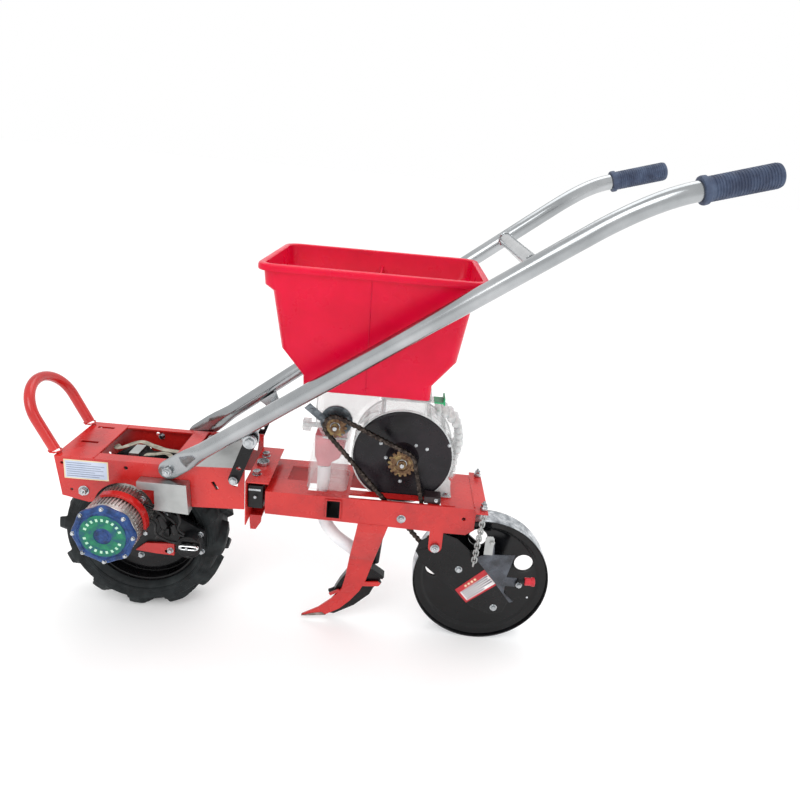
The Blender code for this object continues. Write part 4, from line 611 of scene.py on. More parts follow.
# Aged cable sleeve: a dull buff, against the dark of the opening.
sleeve = finish("pale_cable_sleeve", ("#6E6B5E", "#8E8B7C", "#A9A697"), (0.45, 0.65), patch=14, grain=1.0,
                lift=0.04)
sleeves = [swept(smooth_line([(-0.0650, 0.0100, 0.3320), (-0.0450, -0.0100, 0.3390),
                              (-0.0200, 0.0180, 0.3400), (0.0100, 0.0080, 0.3390),
                              (0.0400, -0.0060, 0.3400), (0.0660, -0.0020, 0.3360)], 50), 0.0012, 0.0062, 12),
           swept(smooth_line([(0.0050, -0.0180, 0.3330), (0.0250, -0.0240, 0.3385),
                              (0.0450, -0.0160, 0.3380), (0.0640, -0.0280, 0.3340)], 40),
                 0.0012, 0.0056, 12)]
make_piece("cable_sleeves", sleeves, sleeve, "front_frame")

# ---- Front hoop -----------------------------------------------------------------------
# A 19 mm steel tube bent over a former and welded to the chassis front as a pull handle.
hoop_foot, hoop_lean = np.array([-0.1430, 0.0, 0.3518]), np.array([-0.0600, 0.0, 0.1155])
hoop_lean /= np.linalg.norm(hoop_lean)
u = np.linspace(0, 1, 97)
straight, bow = 0.0640, math.pi * 0.0630
run = u * (2 * straight + bow)
angle = np.clip((run - straight) / 0.0630, 0, np.pi)
up_run = np.minimum(run, straight) - np.maximum(run - straight - bow, 0) + 0.0630 * np.sin(angle)
hoop_path = hoop_foot + up_run[:, None] * hoop_lean + np.outer(-0.0630 * np.cos(angle), [0, 1, 0])
make_piece("pull_hoop", [swept(hoop_path, 0.0095, sides=28, reference=np.cross(hoop_lean, [0, 1, 0]))],
           red_enamel,
           "front_frame", ("front_hoop",))
hoop_welds = []
for y in (-0.0630, 0.0630):
    a = np.linspace(0, 2 * np.pi, 48, endpoint=False)
    foot = hoop_foot + [0, y, 0] + np.stack([0.0102 * np.cos(a), 0.0102 * np.sin(a), -0.0012 + 0 * a], -1)
    swell = 0.0016 + 0.0004 * np.sin(9 * a)
    spots, faces = swept(np.concatenate([foot, foot[:1]]), np.append(swell, swell[0]), sides=8,
                         reference=(0.0, 0.0, 1.0))
    hoop_welds.append((spots, faces))
make_piece("hoop_welds", hoop_welds, red_enamel, "front_frame")

# ---- Handles --------------------------------------------------------------------------
# Two bright zinc plated steel tubes, pressed flat where they bolt to the chassis and bent level
# for the hands, tied by a short welded tube. Ribbed slate blue rubber grips are pushed on.
tube_zinc = finish("polished_zinc_tube", ("#8F9294", "#A2A5A7", "#B6B8BA"), (0.14, 0.26), patch=120,
                   grain=1.2,
                   lift=0.01, metal=1.0, contrast=(0.25, 0.75))
# Slate-blue rubber: soft and matt at the end of the bright tubes.
grip_blue = finish("slate_blue_grip_rubber", ("#27324A", "#36435C", "#46546D"), (0.5, 0.75), patch=26,
                   grain=0.9,
                   lift=0.06)
pressed = np.array([(-0.0190, 0.0080, 0.0024), (-0.0150, 0.0135, 0.0028), (-0.0080, 0.0180, 0.0034),
                    (0.0, 0.0195, 0.0036), (0.0350, 0.0195, 0.0037), (0.0520, 0.0185, 0.0075),
                    (0.0700, 0.0163, 0.0125), (0.0850, 0.0150, 0.0150)])


def handle_line(side):
    """Middle, half height and half breadth of a tube: straight, then a Bezier bend to the hands."""
    pivot, bend = np.array([0.0746, side * 0.0809, 0.3404]), np.array([0.7945, side * 0.1851, 0.8815])
    hand, end = np.array([0.8710, side * 0.2021, 0.9144]), np.array([0.9690, side * 0.2021, 0.9432])
    length = np.linalg.norm(bend - pivot)
    along, level = (bend - pivot) / length, (end - hand) / np.linalg.norm(end - hand)
    t = np.concatenate([np.linspace(-0.0190, 0.0850, 40), np.linspace(0.10, length - 0.070, 40)])
    u = np.linspace(0, 1, 40)[1:, None]
    a, d = pivot + along * (length - 0.070), hand - level * 0.006
    b, c = a + along * 0.050, d - level * 0.045
    bow = a * (1 - u) ** 3 + b * 3 * u * (1 - u) ** 2 + c * 3 * u ** 2 * (1 - u) + d * u ** 3
    path = np.concatenate([pivot + t[:, None] * along, bow, [hand + level * 0.100]])
    spread = np.full(len(path) - len(t), 0.0150)
    high, broad = (np.concatenate([np.interp(t, pressed[:, 0], pressed[:, k]), spread]) for k in (1, 2))
    return path, high, broad, hand, end


for side, name in ((-1, "near"), (1, "far")):
    path, high, broad, hand, end = handle_line(side)
    make_piece("handle_tube_" + name, [swept(path, high, broad, sides=48)], tube_zinc, "handles",
               ("handle_" + name,), sharp=60)
    tab = np.array([(0.1500, -0.0100), (0.1560, -0.0300), (0.1640, -0.0400), (0.1760, -0.0400),
                    (0.1840, -0.0300),
                    (0.1900, -0.0100)])
    tab = np.column_stack([0.0746 + 0.7993 * tab[:, 0] - 0.6009 * tab[:, 1],
                           0.3404 + 0.6009 * tab[:, 0] + 0.7993 * tab[:, 1]])
    make_piece("strut_tab_" + name, [plate(tab, side * 0.0862, side * 0.0822)], tube_zinc, "handles",
               bevel=0.0006)
    t = np.linspace(0, 1, 181)
    length = np.linalg.norm(end - hand) + 0.006
    rib = np.where((t > 0.12) & (t < 0.96), 0.00045 * np.sign(np.sin(t * 2 * np.pi * 27)) - 0.0002, 0.0)
    grip_r = np.interp(t, [0, 0.02, 0.07, 0.09, 0.955, 0.985, 1.0],
                       [0.0200, 0.0208, 0.0205, 0.0178, 0.0178, 0.0165, 0.0135])
    grip_path = hand + np.outer(t * length, (end - hand) / np.linalg.norm(end - hand))
    make_piece("hand_grip_" + name, [swept(grip_path, grip_r + rib, sides=40)], grip_blue, "handles",
               ("grip_" + name,), sharp=50)
    dress("strut_" + name, black_stove, 0.0007)
tie_x, tie_z = 0.0746 + 0.7199 * 0.8235, 0.3404 + 0.5411 * 0.8235
tie = [turned([(0.0105, -0.1550), (0.0125, -0.1550), (0.0125, 0.1550), (0.0105, 0.1550)], (tie_x, 0, tie_z),
              "y", 32, closed=True)]
make_piece("handle_tie", tie, tube_zinc, "handles", ("crossbar",))
tie_welds = []
a = np.linspace(0, 2 * np.pi, 49)
for side in (-1, 1):
    loop = np.stack([tie_x + 0.0132 * np.cos(a), side * (0.1490 + 0.0022 * np.abs(np.cos(a - 0.64))),
                     tie_z + 0.0132 * np.sin(a)], -1)
    tie_welds.append(swept(loop, 0.0017 + 0.0004 * np.sin(11 * a), sides=8, reference=(0.6, 0.1, 0.8)))
make_piece("tie_welds", tie_welds, tube_zinc, "handles")
for node in ("handle_pivot_bolt", "strut_cross_rod", "strut_low_bolt"):
    dress(node, bright_zinc, 0.0009)
strut_nuts = [hexagon((0.0746, 0, 0.3404), "y", 0.0130, -0.0960, -0.0912),
              stud((0.0746, 0, 0.3404), "y", 0.0040, -0.0985, -0.0950),
              hexagon((0.1968, 0, 0.3377), "y", 0.0110, -0.1010, -0.0965),
              hexagon((0.2257, 0, 0.4184), "y", 0.0150, -0.1030, -0.0985)]
strut_nuts += [(spots * [1, -1, 1], faces) for spots, faces in strut_nuts]
make_piece("handle_nuts", strut_nuts[:2] + strut_nuts[4:6], bright_zinc, "front_frame",
           sharp=30)
make_piece("strut_nuts", strut_nuts[2:4] + strut_nuts[6:], bright_zinc, "handles", sharp=30)

# ---- Hitch ----------------------------------------------------------------------------
# A folded red bracket closes the chassis's rear and carries a zinc plated king pin, about which
# the rear unit swings a little.
dress("hitch_bracket", red_enamel, 0.0007)
dress("kingpin", bright_zinc, 0.0010)
hitch_bolts = [washer((0.2270, 0.0330, 0), "z", 0.0085, 0.3251, 0.3265),
               hexagon((0.2270, 0.0330, 0), "z", 0.0130, 0.3265, 0.3335),
               washer((0.2270, -0.0420, 0), "z", 0.0085, 0.3251, 0.3265),
               hexagon((0.2270, -0.0420, 0), "z", 0.0130, 0.3265, 0.3335)]
# Black blocks between the hitch plates: partly a rubber buffer, partly painted shade filling the dark void
# there.
buffer_and_shade_blocks = [slab((0.2150, 0.2440), (-0.0620, -0.0440), (0.2640, 0.3120)),
          slab((0.2150, 0.2440), (0.0440, 0.0620), (0.2640, 0.3120))]
make_piece("hitch_buffers", buffer_and_shade_blocks, black_sheath_and_shade, "front_frame", bevel=0.0020)
clips = [slab((0.2170, 0.2400), (-0.0640, -0.0618), (0.3020, 0.3060)),
         stud((0.2300, 0, 0.2900), "y", 0.0035, -0.0670, -0.0610)]
make_piece("hitch_clips", clips, bright_zinc, "front_frame", bevel=0.0003)
make_piece("hitch_bolts", hitch_bolts, bright_zinc, "front_frame", sharp=30)

# ---- Rear beam ------------------------------------------------------------------------
# A 3 mm sheet channel folded from one blank, welded at its cross tube and brushed red, with
# bright bolts through the rails and eye bolts at the rear for the slack chains.
dress("beam", red_enamel, 0.0007)
dress("tube_socket", red_enamel, 0.0006)
dress("hanger_near", bright_zinc, 0.0006)
dress("hanger_far", bright_zinc, 0.0006)
dress("arm_pivot", bright_zinc, 0.0010)
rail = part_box("opener_shank")[0][1]
shank_bolt, shank_head = (0.5075, 0, 0.2709), 0.0105
beam_bolts = [washer(shank_bolt, "y", shank_head * 0.82, rail - 0.0014, rail - 0.0002),
              hexagon(shank_bolt, "y", shank_head, rail - 0.0066, rail - 0.0014),
              stud(shank_bolt, "y", 0.0030, rail - 0.0090, rail - 0.006),
              washer(shank_bolt, "y", shank_head * 0.82, -rail + 0.0002, -rail + 0.0014),
              hexagon(shank_bolt, "y", shank_head, -rail + 0.0014, -rail + 0.0066)]
beam_bolts += [hexagon((0.5770, 0, 0.2159), "y", 0.0120, -0.0760, -0.0718),
               stud((0.5770, 0, 0.2159), "y", 0.0035, -0.0785, -0.0755)]
for x, y in ((0.5890, -0.0280), (0.5890, 0.0300)):
    beam_bolts += [washer((x, y, 0), "z", 0.0060, 0.3082, 0.3092),
                   hexagon((x, y, 0), "z", 0.0080, 0.3092, 0.3140)]
# Thin black sheets inside the tube socket: painted shade in its hollow.
socket_shade_sheets = [slab((0.3661, 0.3899), (-0.0690, 0.0690), (0.2621, 0.2626)),
         slab((0.3661, 0.3899), (-0.0690, 0.0690), (0.2964, 0.2969)),
         slab((0.3661, 0.3666), (-0.0690, 0.0690), (0.2621, 0.2969)),
         slab((0.3894, 0.3899), (-0.0690, 0.0690), (0.2621, 0.2969))]
make_piece("socket_liner", socket_shade_sheets, black_sheath_and_shade, "rear_frame")
make_piece("slot_cover", [slab((0.5792, 0.6070), (-0.0625, -0.0485), (0.3046, 0.3058))], red_enamel,
           "rear_frame", bevel=0.0004)
for y in (-0.0640, 0.0640):
    beam_bolts += [hexagon((0.6605, y, 0), "z", 0.0110, 0.3046, 0.3100),
                   hexagon((0.6605, y, 0), "z", 0.0100, 0.3120, 0.3170),
                   stud((0.6605, y, 0), "z", 0.0030, 0.3100, 0.3215)]
make_piece("beam_bolts", beam_bolts, bright_zinc, "rear_frame", sharp=30)
u = np.linspace(0, 1, 50)[:, None]
seams = []
for start, end in (((0.4262, rail, 0.2530), (0.4842, rail, 0.2515)),
                   ((0.3620, rail, 0.2590), (0.3620, rail, 0.3000)),
                   ((0.3940, rail, 0.2590), (0.3940, rail, 0.3000)),
                   ((0.6440, -0.0600, 0.3052), (0.6440, 0.0600, 0.3052))):
    seams.append(swept(np.array(start) * (1 - u) + np.array(end) * u,
                       0.0014 + 0.0004 * np.sin(u[:, 0] * 150), sides=8,
                       reference=(0.1, 0.9, 0.3)))
make_piece("beam_welds", seams, red_enamel, "rear_frame")

# ---- Furrow opener and its hoses ------------------------------------------------------
# A red flat-bar shank, worn bright at its point, with a black steel boot behind it. A white
# hose and a black one drop the fertiliser and the seed into the furrow.
worn_steel = finish("soil_worn_steel", ("#6F655E", "#8F8780", "#B3ADA7"), (0.25, 0.45), patch=20, grain=1.2,
                    lift=0.05,
                    metal=0.9, stretch=(1, 1, 3))
# White hose: smooth and milky, seen below the beam.
white_hose = finish("white_hose_plastic", ("#DCDFE3", "#ECEEF1", "#F7F8F9"), (0.3, 0.45), patch=40,
                    grain=1.5, lift=0.03)
dress("opener_shank", red_enamel, 0.0009)
dress("opener_boot", black_stove, 0.0012)
point = plate([(0.3225, 0.0100), (0.3735, 0.0165), (0.3650, 0.0225), (0.3440, 0.0180)], -0.0423, -0.0345)
make_piece("opener_edge", [point], worn_steel, "rear_frame", bevel=0.0006)
clip = [plate([(0.4420, 0.0930), (0.4760, 0.0960), (0.4800, 0.1020), (0.4740, 0.1060), (0.4440, 0.1030)],
              -0.0415, -0.0375),
        plate([(0.3800, 0.0640), (0.3770, 0.0690), (0.3960, 0.0800), (0.4000, 0.0760)], -0.0415, -0.0375)]
make_piece("boot_clips", clip, red_enamel, "rear_frame", bevel=0.0006)
spurs = [plate([(0.3800, 0.0560), (0.3740, 0.0680), (0.3790, 0.0700), (0.3960, 0.0820), (0.4000, 0.0700)],
               -0.0300, -0.0250),
         plate([(0.4600, 0.0900), (0.4760, 0.0880), (0.4815, 0.0960), (0.4770, 0.1040), (0.4640, 0.1020)],
               -0.0300, -0.0250),
         plate([(0.4560, 0.1290), (0.4600, 0.1330), (0.4860, 0.1150), (0.4820, 0.1090)], -0.0370, -0.0160)]
make_piece("boot_spurs", spurs, black_stove, "rear_frame", bevel=0.0008)
hose = smooth_line([(0.3490, 0.0, 0.3360), (0.3490, 0.0, 0.2900), (0.3490, 0.0, 0.2500),
                    (0.3570, -0.0060, 0.2150),
                    (0.3780, -0.0140, 0.1900), (0.4050, -0.0180, 0.1720), (0.4280, -0.0180, 0.1560)], 90)
make_piece("fertiliser_hose", [swept(hose, 0.0125, sides=32)], white_hose, "rear_frame",
           ("fert_hose",))
drop = smooth_line([(0.4780, 0.0100, 0.2760), (0.4740, 0.0080, 0.2300), (0.4660, 0.0020, 0.1800),
                    (0.4620, 0.0, 0.1250)], 50)
make_piece("seed_hose", [swept(drop, 0.0110, sides=28)], black_sheath_and_shade, "rear_frame",
           ("seed_tube",))

# ---- Hopper ---------------------------------------------------------------------------
# Blow moulded raspberry red plastic that lets some light through, with a rolled rim, a step
# above the sloping walls and a wall that parts seed from fertiliser.
hopper_red = finish("raspberry_hopper_plastic", ("#C4002C", "#D00232", "#DA0638"), (0.24, 0.36), patch=160,
                    grain=3.0,
                    lift=0.03, Specular_IOR_Level=0.22, Subsurface_Weight=0.3,
                    Subsurface_Radius=(0.03, 0.002, 0.003),
                    Subsurface_Scale=0.5)
hopper_low, hopper_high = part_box("hopper")
hopper_x = (hopper_low[0] + hopper_high[0]) / 2 - FRONT_AXLE[0]
outer_rows = [(0.5155, 0.1131, 0.0700, 0.008), (0.5448, 0.1135, 0.0780, 0.010),
              (0.5945, 0.1511, 0.0905, 0.016),
              (0.6974, 0.1640, 0.1130, 0.020), (0.7075, 0.1770, 0.1155, 0.020),
              (0.7335, 0.1790, 0.1200, 0.022),
              (0.7338, 0.1868, 0.1283, 0.026), (0.7352, 0.1875, 0.1290, 0.026),
              (0.7412, 0.1875, 0.1290, 0.026),
              (0.7440, 0.1863, 0.1278, 0.025), (0.7450, 0.1840, 0.1255, 0.024)]
inner_rows = [(0.7450, 0.1785, 0.1200, 0.021), (0.7435, 0.1765, 0.1180, 0.021),
              (0.7335, 0.1755, 0.1165, 0.020),
              (0.7090, 0.1740, 0.1120, 0.018), (0.6990, 0.1605, 0.1095, 0.018),
              (0.5960, 0.1476, 0.0870, 0.014),
              (0.5462, 0.1098, 0.0745, 0.009), (0.5190, 0.1095, 0.0668, 0.006),
              (0.5155, 0.1131, 0.0700, 0.008)]


def rounded_rows(rows, middle, steps=10):
    """Loops of rounded rectangles (z, half length, half width, corner radius), joined into a skin."""
    quarter = np.linspace(0, np.pi / 2, steps)
    loops = []
    for z, half_x, half_y, r in rows:
        a = np.concatenate([quarter, quarter + np.pi / 2, quarter + np.pi, quarter + 1.5 * np.pi])
        loops.append(np.column_stack([middle + (half_x - r) * np.repeat([1, -1, -1, 1],
                                                                        steps) + r * np.cos(a),
                                      (half_y - r) * np.repeat([1, 1, -1, -1], steps) + r * np.sin(a),
                                      np.full(4 * steps, z)]))
    return np.array(loops), grid_faces(len(rows), 4 * steps, False, True)


floor_slabs = [slab((0.3145, 0.3480), (-0.0670, 0.0670), (0.5155, 0.5190)),
               slab((0.4130, 0.4620), (-0.0670, 0.0670), (0.5155, 0.5190)),
               slab((0.5300, 0.5345), (-0.0670, 0.0670), (0.5155, 0.5190)),
               slab((0.3480, 0.4130), (-0.0670, -0.0260), (0.5155, 0.5190)),
               slab((0.3480, 0.4130), (0.0300, 0.0670), (0.5155, 0.5190)),
               slab((0.4620, 0.5300), (-0.0670, -0.0180), (0.5155, 0.5190)),
               slab((0.4620, 0.5300), (0.0300, 0.0670), (0.5155, 0.5190))]
make_piece("hopper_shell", [rounded_rows(outer_rows + inner_rows, hopper_x)] + floor_slabs, hopper_red,
           "rear_frame",
           ("hopper",), sharp=28)
rib_rows = np.array([(0.5190, 0.0708), (0.5448, 0.0782), (0.5945, 0.0908), (0.6974, 0.1132),
                     (0.7075, 0.1158), (0.7335, 0.1202)])
rib_path = smooth_line(np.column_stack([np.full(6, 0.4230), -rib_rows[:, 1], rib_rows[:, 0]]), 60)
make_piece("hopper_seam", [swept(rib_path, 0.0007, sides=8, reference=(1, 0, 0)),
                           swept(rib_path * [1, -1, 1], 0.0007, sides=8, reference=(1, 0, 0))], hopper_red,
                           "rear_frame")
dress("hopper_divider", hopper_red, 0.0008)

# ---- Seed meter -----------------------------------------------------------------------
# A clear polycarbonate housing screwed to the beam, hazy where it was moulded, with a black
# disc cover riveted over its near side and a lumpy clear brush cover at its back.
clear_shell = finish("clear_polycarbonate", ("#D3D5D6", "#DFE1E1", "#EBECEC"), (0.08, 0.18), patch=30,
                     grain=2.6,
                     lift=0.06, Alpha=0.20, Specular_IOR_Level=0.8, Coat_Weight=0.5, Coat_Roughness=0.06)
# Hazy polycarbonate: whiter than the walls, so flanges and ribs show.
clear_rim = finish("hazy_polycarbonate", ("#BCC0C2", "#D0D3D3", "#E6E8E8"), (0.12, 0.26), patch=12, grain=1.6,
                   lift=0.08, Alpha=0.55, Specular_IOR_Level=0.8)
# Black disc: a faint purple cast and a soft sheen.
disc_black = finish("black_disc_plastic", ("#0C0A0D", "#171419", "#221A1F"), (0.22, 0.40), patch=60,
                    grain=1.8, lift=0.03,
                    Specular_IOR_Level=0.30)
# Green plastic: one small strong colour under the hopper.
green_plastic = finish("green_gate_plastic", ("#12925A", "#22A86C"), (0.3, 0.42), patch=20, grain=1.0,
                       lift=0.02)
seed_axle = (0.4993, 0.0, 0.3804)
dress("seed_meter", clear_shell, 0.0008)
dress("brush_cover", clear_shell, 0.0010)
gate_pull = [plate([(0.5480, 0.4975), (0.5650, 0.4975), (0.5660, 0.4945), (0.5690, 0.4945), (0.5680, 0.5090),
                    (0.5650, 0.5090),
                    (0.5645, 0.5005), (0.5480, 0.5005)], -0.0350, -0.0050)]
make_piece("gate_pull", gate_pull, green_plastic, "gate", ("gate_tab",), bevel=0.0006)
make_piece("gate_plate", [slab((0.5030, 0.5484), (-0.0345, -0.0055), (0.4980, 0.5000))], clear_rim, "gate")
disc_line = [(0.0066, -0.0303), (0.0070, -0.0307), (0.0160, -0.0307), (0.0175, -0.0303), (0.0300, -0.0303),
             (0.0306, -0.0308), (0.0330, -0.0308), (0.0336, -0.0303), (0.0880, -0.0303), (0.0888, -0.0309),
             (0.0925, -0.0309),
             (0.0938, -0.0302), (0.0940, -0.0296), (0.0940, -0.0280), (0.0066, -0.0280)]
make_piece("disc_cover_plate", [turned(disc_line, seed_axle, "y", 120, closed=True)], disc_black,
           "rear_frame",
           ("disc_cover",), sharp=40)
flange = [turned([(0.0942, -0.0302), (0.0950, -0.0306), (0.0966, -0.0306), (0.0972, -0.0300),
                  (0.0972, -0.0278),
                  (0.0942, -0.0278)], seed_axle, "y", 120, closed=True),
          turned([(0.0940, 0.0400), (0.0940, 0.0425), (0.0972, 0.0425), (0.0978, 0.0418), (0.0978, 0.0400)],
                 seed_axle, "y",
                 120, closed=True)]
make_piece("meter_flanges", flange, clear_rim, "rear_frame", sharp=40)
rivets = []
for x, z in ((0.4569, 0.4062), (0.5445, 0.4024), (0.4681, 0.3776), (0.4991, 0.3303), (0.5858, 0.4138),
             (0.5230, 0.4080)):
    rivets += [washer((x, 0, z), "y", 0.0035, -0.0312, -0.0305),
               stud((x, 0, z), "y", 0.0024, -0.0328, -0.0308)]
make_piece("disc_rivets", rivets, bright_zinc, "rear_frame")
neck = [slab((0.4500, 0.5425), (-0.0295, -0.0272), (0.4940, 0.5150)),
        slab((0.4500, 0.5425), (0.0397, 0.0420), (0.4940, 0.5150)),
        slab((0.5405, 0.5430), (-0.0290, 0.0415), (0.5000, 0.5150)),
        plate([(0.5560, 0.3075), (0.5985, 0.3075), (0.5962, 0.3384), (0.5880, 0.3440)], -0.0300, -0.0270),
        plate([(0.5560, 0.3075), (0.5985, 0.3075), (0.5962, 0.3384), (0.5880, 0.3440)], 0.0350, 0.0380),
        slab((0.5560, 0.6000), (-0.0340, 0.0400), (0.3052, 0.3080)),
        slab((0.4560, 0.4590), (-0.0310, -0.0275), (0.4700, 0.5050)),
        slab((0.5330, 0.5360), (-0.0310, -0.0275), (0.4720, 0.5050))]
make_piece("meter_neck_and_feet", neck, clear_rim, "rear_frame", bevel=0.0006)
lumps = []
for x, z, r in ((0.5600, 0.4730, 0.0068), (0.5730, 0.4700, 0.0075), (0.5850, 0.4620, 0.0080),
                (0.5950, 0.4520, 0.0080),
                (0.6010, 0.4400, 0.0080), (0.6040, 0.4270, 0.0082), (0.6050, 0.4130, 0.0080),
                (0.6030, 0.3990, 0.0078),
                (0.6000, 0.3860, 0.0070), (0.6000, 0.3720, 0.0060), (0.5990, 0.3580, 0.0058),
                (0.5960, 0.3460, 0.0056)):
    lumps.append(turned([(0, -0.0225), (r * 0.55, -0.0222), (r * 0.8, -0.0200), (r, -0.0150), (r, 0.0290),
                         (r * 0.7, 0.0320),
                         (0, 0.0325)], (x, 0, z), "y", 14))
make_piece("brush_cover_ribs", lumps, clear_rim, "rear_frame", sharp=60)
housing_ribs = []
for a in np.radians([14, 38, 62, 118, 142, 166, 190, 338]):
    spot = np.array([seed_axle[0] + 0.0935 * math.cos(a), 0, seed_axle[2] + 0.0935 * math.sin(a)])
    housing_ribs.append(turned([(0, -0.0270), (0.0045, -0.0270), (0.0045, 0.0395), (0, 0.0395)], spot, "y",
                               10))
make_piece("housing_screw_posts", housing_ribs, clear_rim, "rear_frame", sharp=60)

# ---- Fertiliser meter -----------------------------------------------------------------
# Another clear box, over a red moulded spout and a clear flexible boot. A dark steel end disc
# holds its roller's bearing, and a clear knob at the front sets the rate.
dark_disc = finish("dark_zinc_steel", ("#3C4247", "#565D62", "#7C8388"), (0.25, 0.45), patch=12, grain=1.2,
                   lift=0.03, metal=0.7)
# Red plastic: shows through the clear boot around it.
spout_red = finish("red_spout_plastic", ("#C21333", "#D61F3F"), (0.3, 0.45), patch=30, grain=1.5, lift=0.03)
for node, mat, width in (("fert_meter", clear_shell, 0.0008), ("rate_knob", clear_rim, 0.0006)):
    dress(node, mat, width)
end_line = [(0.0, -0.0400), (0.0130, -0.0400), (0.0134, -0.0409), (0.0190, -0.0409), (0.0194, -0.0402),
            (0.0262, -0.0402),
            (0.0268, -0.0410), (0.0296, -0.0410), (0.0300, -0.0405), (0.0300, -0.0374), (0.0, -0.0374)]
make_piece("roller_end_disc", [turned(end_line, (0.3716, 0, 0.4480), "y", 64)], dark_disc, "rear_frame",
           ("fert_end_disc",), sharp=35)
strip = plate([(0.3112, 0.4696), (0.3217, 0.4800), (0.3510, 0.4569), (0.3406, 0.4465)], -0.0425, -0.0411)
make_piece("roller_strip", [strip, stud((0.3260, 0, 0.4680), "y", 0.0030, -0.0445, -0.0420)], dark_disc,
           "rear_frame",
           bevel=0.0004)
spout_rows = [(0.3390, 0.0135, 0.0135, 0.0060, 0.3490), (0.3470, 0.0145, 0.0145, 0.0060, 0.3495),
              (0.3620, 0.0240, 0.0250, 0.0080, 0.3560), (0.3850, 0.0285, 0.0290, 0.0080, 0.3600),
              (0.4080, 0.0295, 0.0300, 0.0080, 0.3610)]
points, faces = rounded_rows([row[:4] for row in spout_rows], 0.0)
shift = np.array([row[4] for row in spout_rows])[:, None, None] * np.array([1, 0, 0])
ends = [list(range(40)), list(range(len(spout_rows) * 40 - 40, len(spout_rows) * 40))]
make_piece("spout", [(points + shift, faces.tolist() + ends)], spout_red, "rear_frame",
           ("fert_spout",), sharp=40)
boot_rows = [(0.3050, 0.0385, 0.0440, 0.012, 0.3600), (0.3075, 0.0390, 0.0445, 0.012, 0.3600),
             (0.3100, 0.0380, 0.0430, 0.012, 0.3600),
             (0.3600, 0.0375, 0.0400, 0.012, 0.3600), (0.3900, 0.0355, 0.0372, 0.010, 0.3615),
             (0.4116, 0.0335, 0.0340, 0.010, 0.3630)]
boot_rows += [(z, hx - 0.0025, hy - 0.0025, r - 0.002, x) for z, hx, hy, r, x in reversed(boot_rows)]
points, faces = rounded_rows([row[:4] for row in boot_rows], 0.0)
shift = np.array([row[4] for row in boot_rows])[:, None, None] * np.array([1, 0, 0])
make_piece("clear_boot", [(points + shift, grid_faces(len(boot_rows), 40, True, True))], clear_shell,
           "rear_frame",
           ("outlet_boot",), sharp=40)
trim = [slab((0.3330, 0.4500), (-0.0392, -0.0368), (0.5040, 0.5150)),
        slab((0.3330, 0.4500), (0.0448, 0.0472), (0.5040, 0.5150)),
        plate([(0.4140, 0.4480), (0.4190, 0.4480), (0.4380, 0.4640), (0.4490, 0.4700), (0.4490, 0.4740),
               (0.4340, 0.4690)], -0.0392, -0.0368),
        slab((0.3330, 0.3360), (-0.0392, -0.0368), (0.4380, 0.5040)),
        slab((0.3480, 0.3950), (-0.0395, -0.0368), (0.4100, 0.4140)),
        turned([(0, -0.0150), (0.0050, -0.0150), (0.0050, 0.0300), (0, 0.0300)], (0.3250, -0.0240, 0.4300),
               "x", 12)]
make_piece("fertiliser_meter_trim", trim, clear_rim, "rear_frame", bevel=0.0005)

# ---- Chain drive ----------------------------------------------------------------------
# Pressed steel sprockets, browned with oil and rust, on the two meter shafts and the arm's
# pivot, run by a 3/8 inch roller chain of riveted links. A dark plastic block holds it down.
bronzed = finish("browned_sprocket_steel", ("#4A3426", "#6E5540", "#8C7A52"), (0.3, 0.5), patch=9, grain=0.8,
                 lift=0.04,
                 metal=0.85)
# Oiled steel: brown-black links with small highlights.
oily_steel = finish("oiled_chain_steel", ("#1B1614", "#332B27", "#574E48"), (0.25, 0.45), patch=5, grain=0.8,
                    lift=0.02,
                    metal=0.8)
# Dark plastic: the block that the chain passes beside.
guide_dark = finish("dark_guide_plastic", ("#170C0F", "#26161A"), (0.3, 0.5), patch=14, grain=1.0, lift=0.03)
for node in ("seed_sprocket", "fert_sprocket", "arm_sprocket"):
    dress(node, bronzed, 0.0003)
dress("chain_guide", guide_dark, 0.0010)
make_piece("guide_screw", [washer((0.5700, 0, 0.3125), "y", 0.0038, -0.0606, -0.0596),
                           hexagon((0.5700, 0, 0.3125), "y", 0.0050, -0.0635, -0.0606)],
           bright_zinc, "rear_frame", sharp=30)
for body, (x, z), r in (("seed_shaft", (0.4993, 0.3804), 0.0170), ("fert_shaft", (0.3714, 0.4434), 0.0)):
    spot = (x, 0, z)
    hubs = [washer(spot, "y", 0.0095, -0.0582, -0.0566), hexagon(spot, "y", 0.0120, -0.0630, -0.0582),
            stud(spot, "y", 0.0042, -0.0668, -0.0625)]
    make_piece(body + "_nut", hubs, bright_zinc, body, sharp=30)
    if r:
        rings = [turned([(r - 0.0035, -0.0582), (r, -0.0582), (r + 0.0012, -0.0572), (r + 0.0012, -0.0562),
                         (r - 0.0035, -0.0562)],
                        spot, "y", 48, closed=True)]
        make_piece(body + "_ring", rings, bronzed, body)
pitch = 0.009525
wraps = [(0.5770, 0.2159, pitch / (2 * math.sin(math.pi / 13)), 1), (0.5590, 0.3040, 0.0160, -1),
         (0.4993, 0.3804, pitch / (2 * math.sin(math.pi / 16)), 1),
         (0.3714, 0.4434, pitch / (2 * math.sin(math.pi / 13)), 1)]


def belt_line(circles):
    """Closed line round circles (x, z, radius, side) with straight tangents; side -1 bends the other way."""
    ends = []
    for (x0, z0, r0, s0), (x1, z1, r1, s1) in zip(circles, circles[1:] + circles[:1]):
        turn = (math.atan2(z1 - z0, x1 - x0) - math.pi / 2
                + math.asin((s0 * r0 - s1 * r1) / math.hypot(x1 - x0, z1 - z0)))
        ends.append((turn if s0 > 0 else turn + math.pi, turn if s1 > 0 else turn + math.pi))
    line = []
    for k, (x, z, r, s) in enumerate(circles):
        start, end = ends[k - 1][1], ends[k][0]
        sweep = s * (((end - start) * s) % (2 * math.pi))
        a = start + np.linspace(0, sweep, 60)
        line.append(np.stack([x + r * np.cos(a), z + r * np.sin(a)], -1))
    return np.concatenate(line + [line[0][:1]])


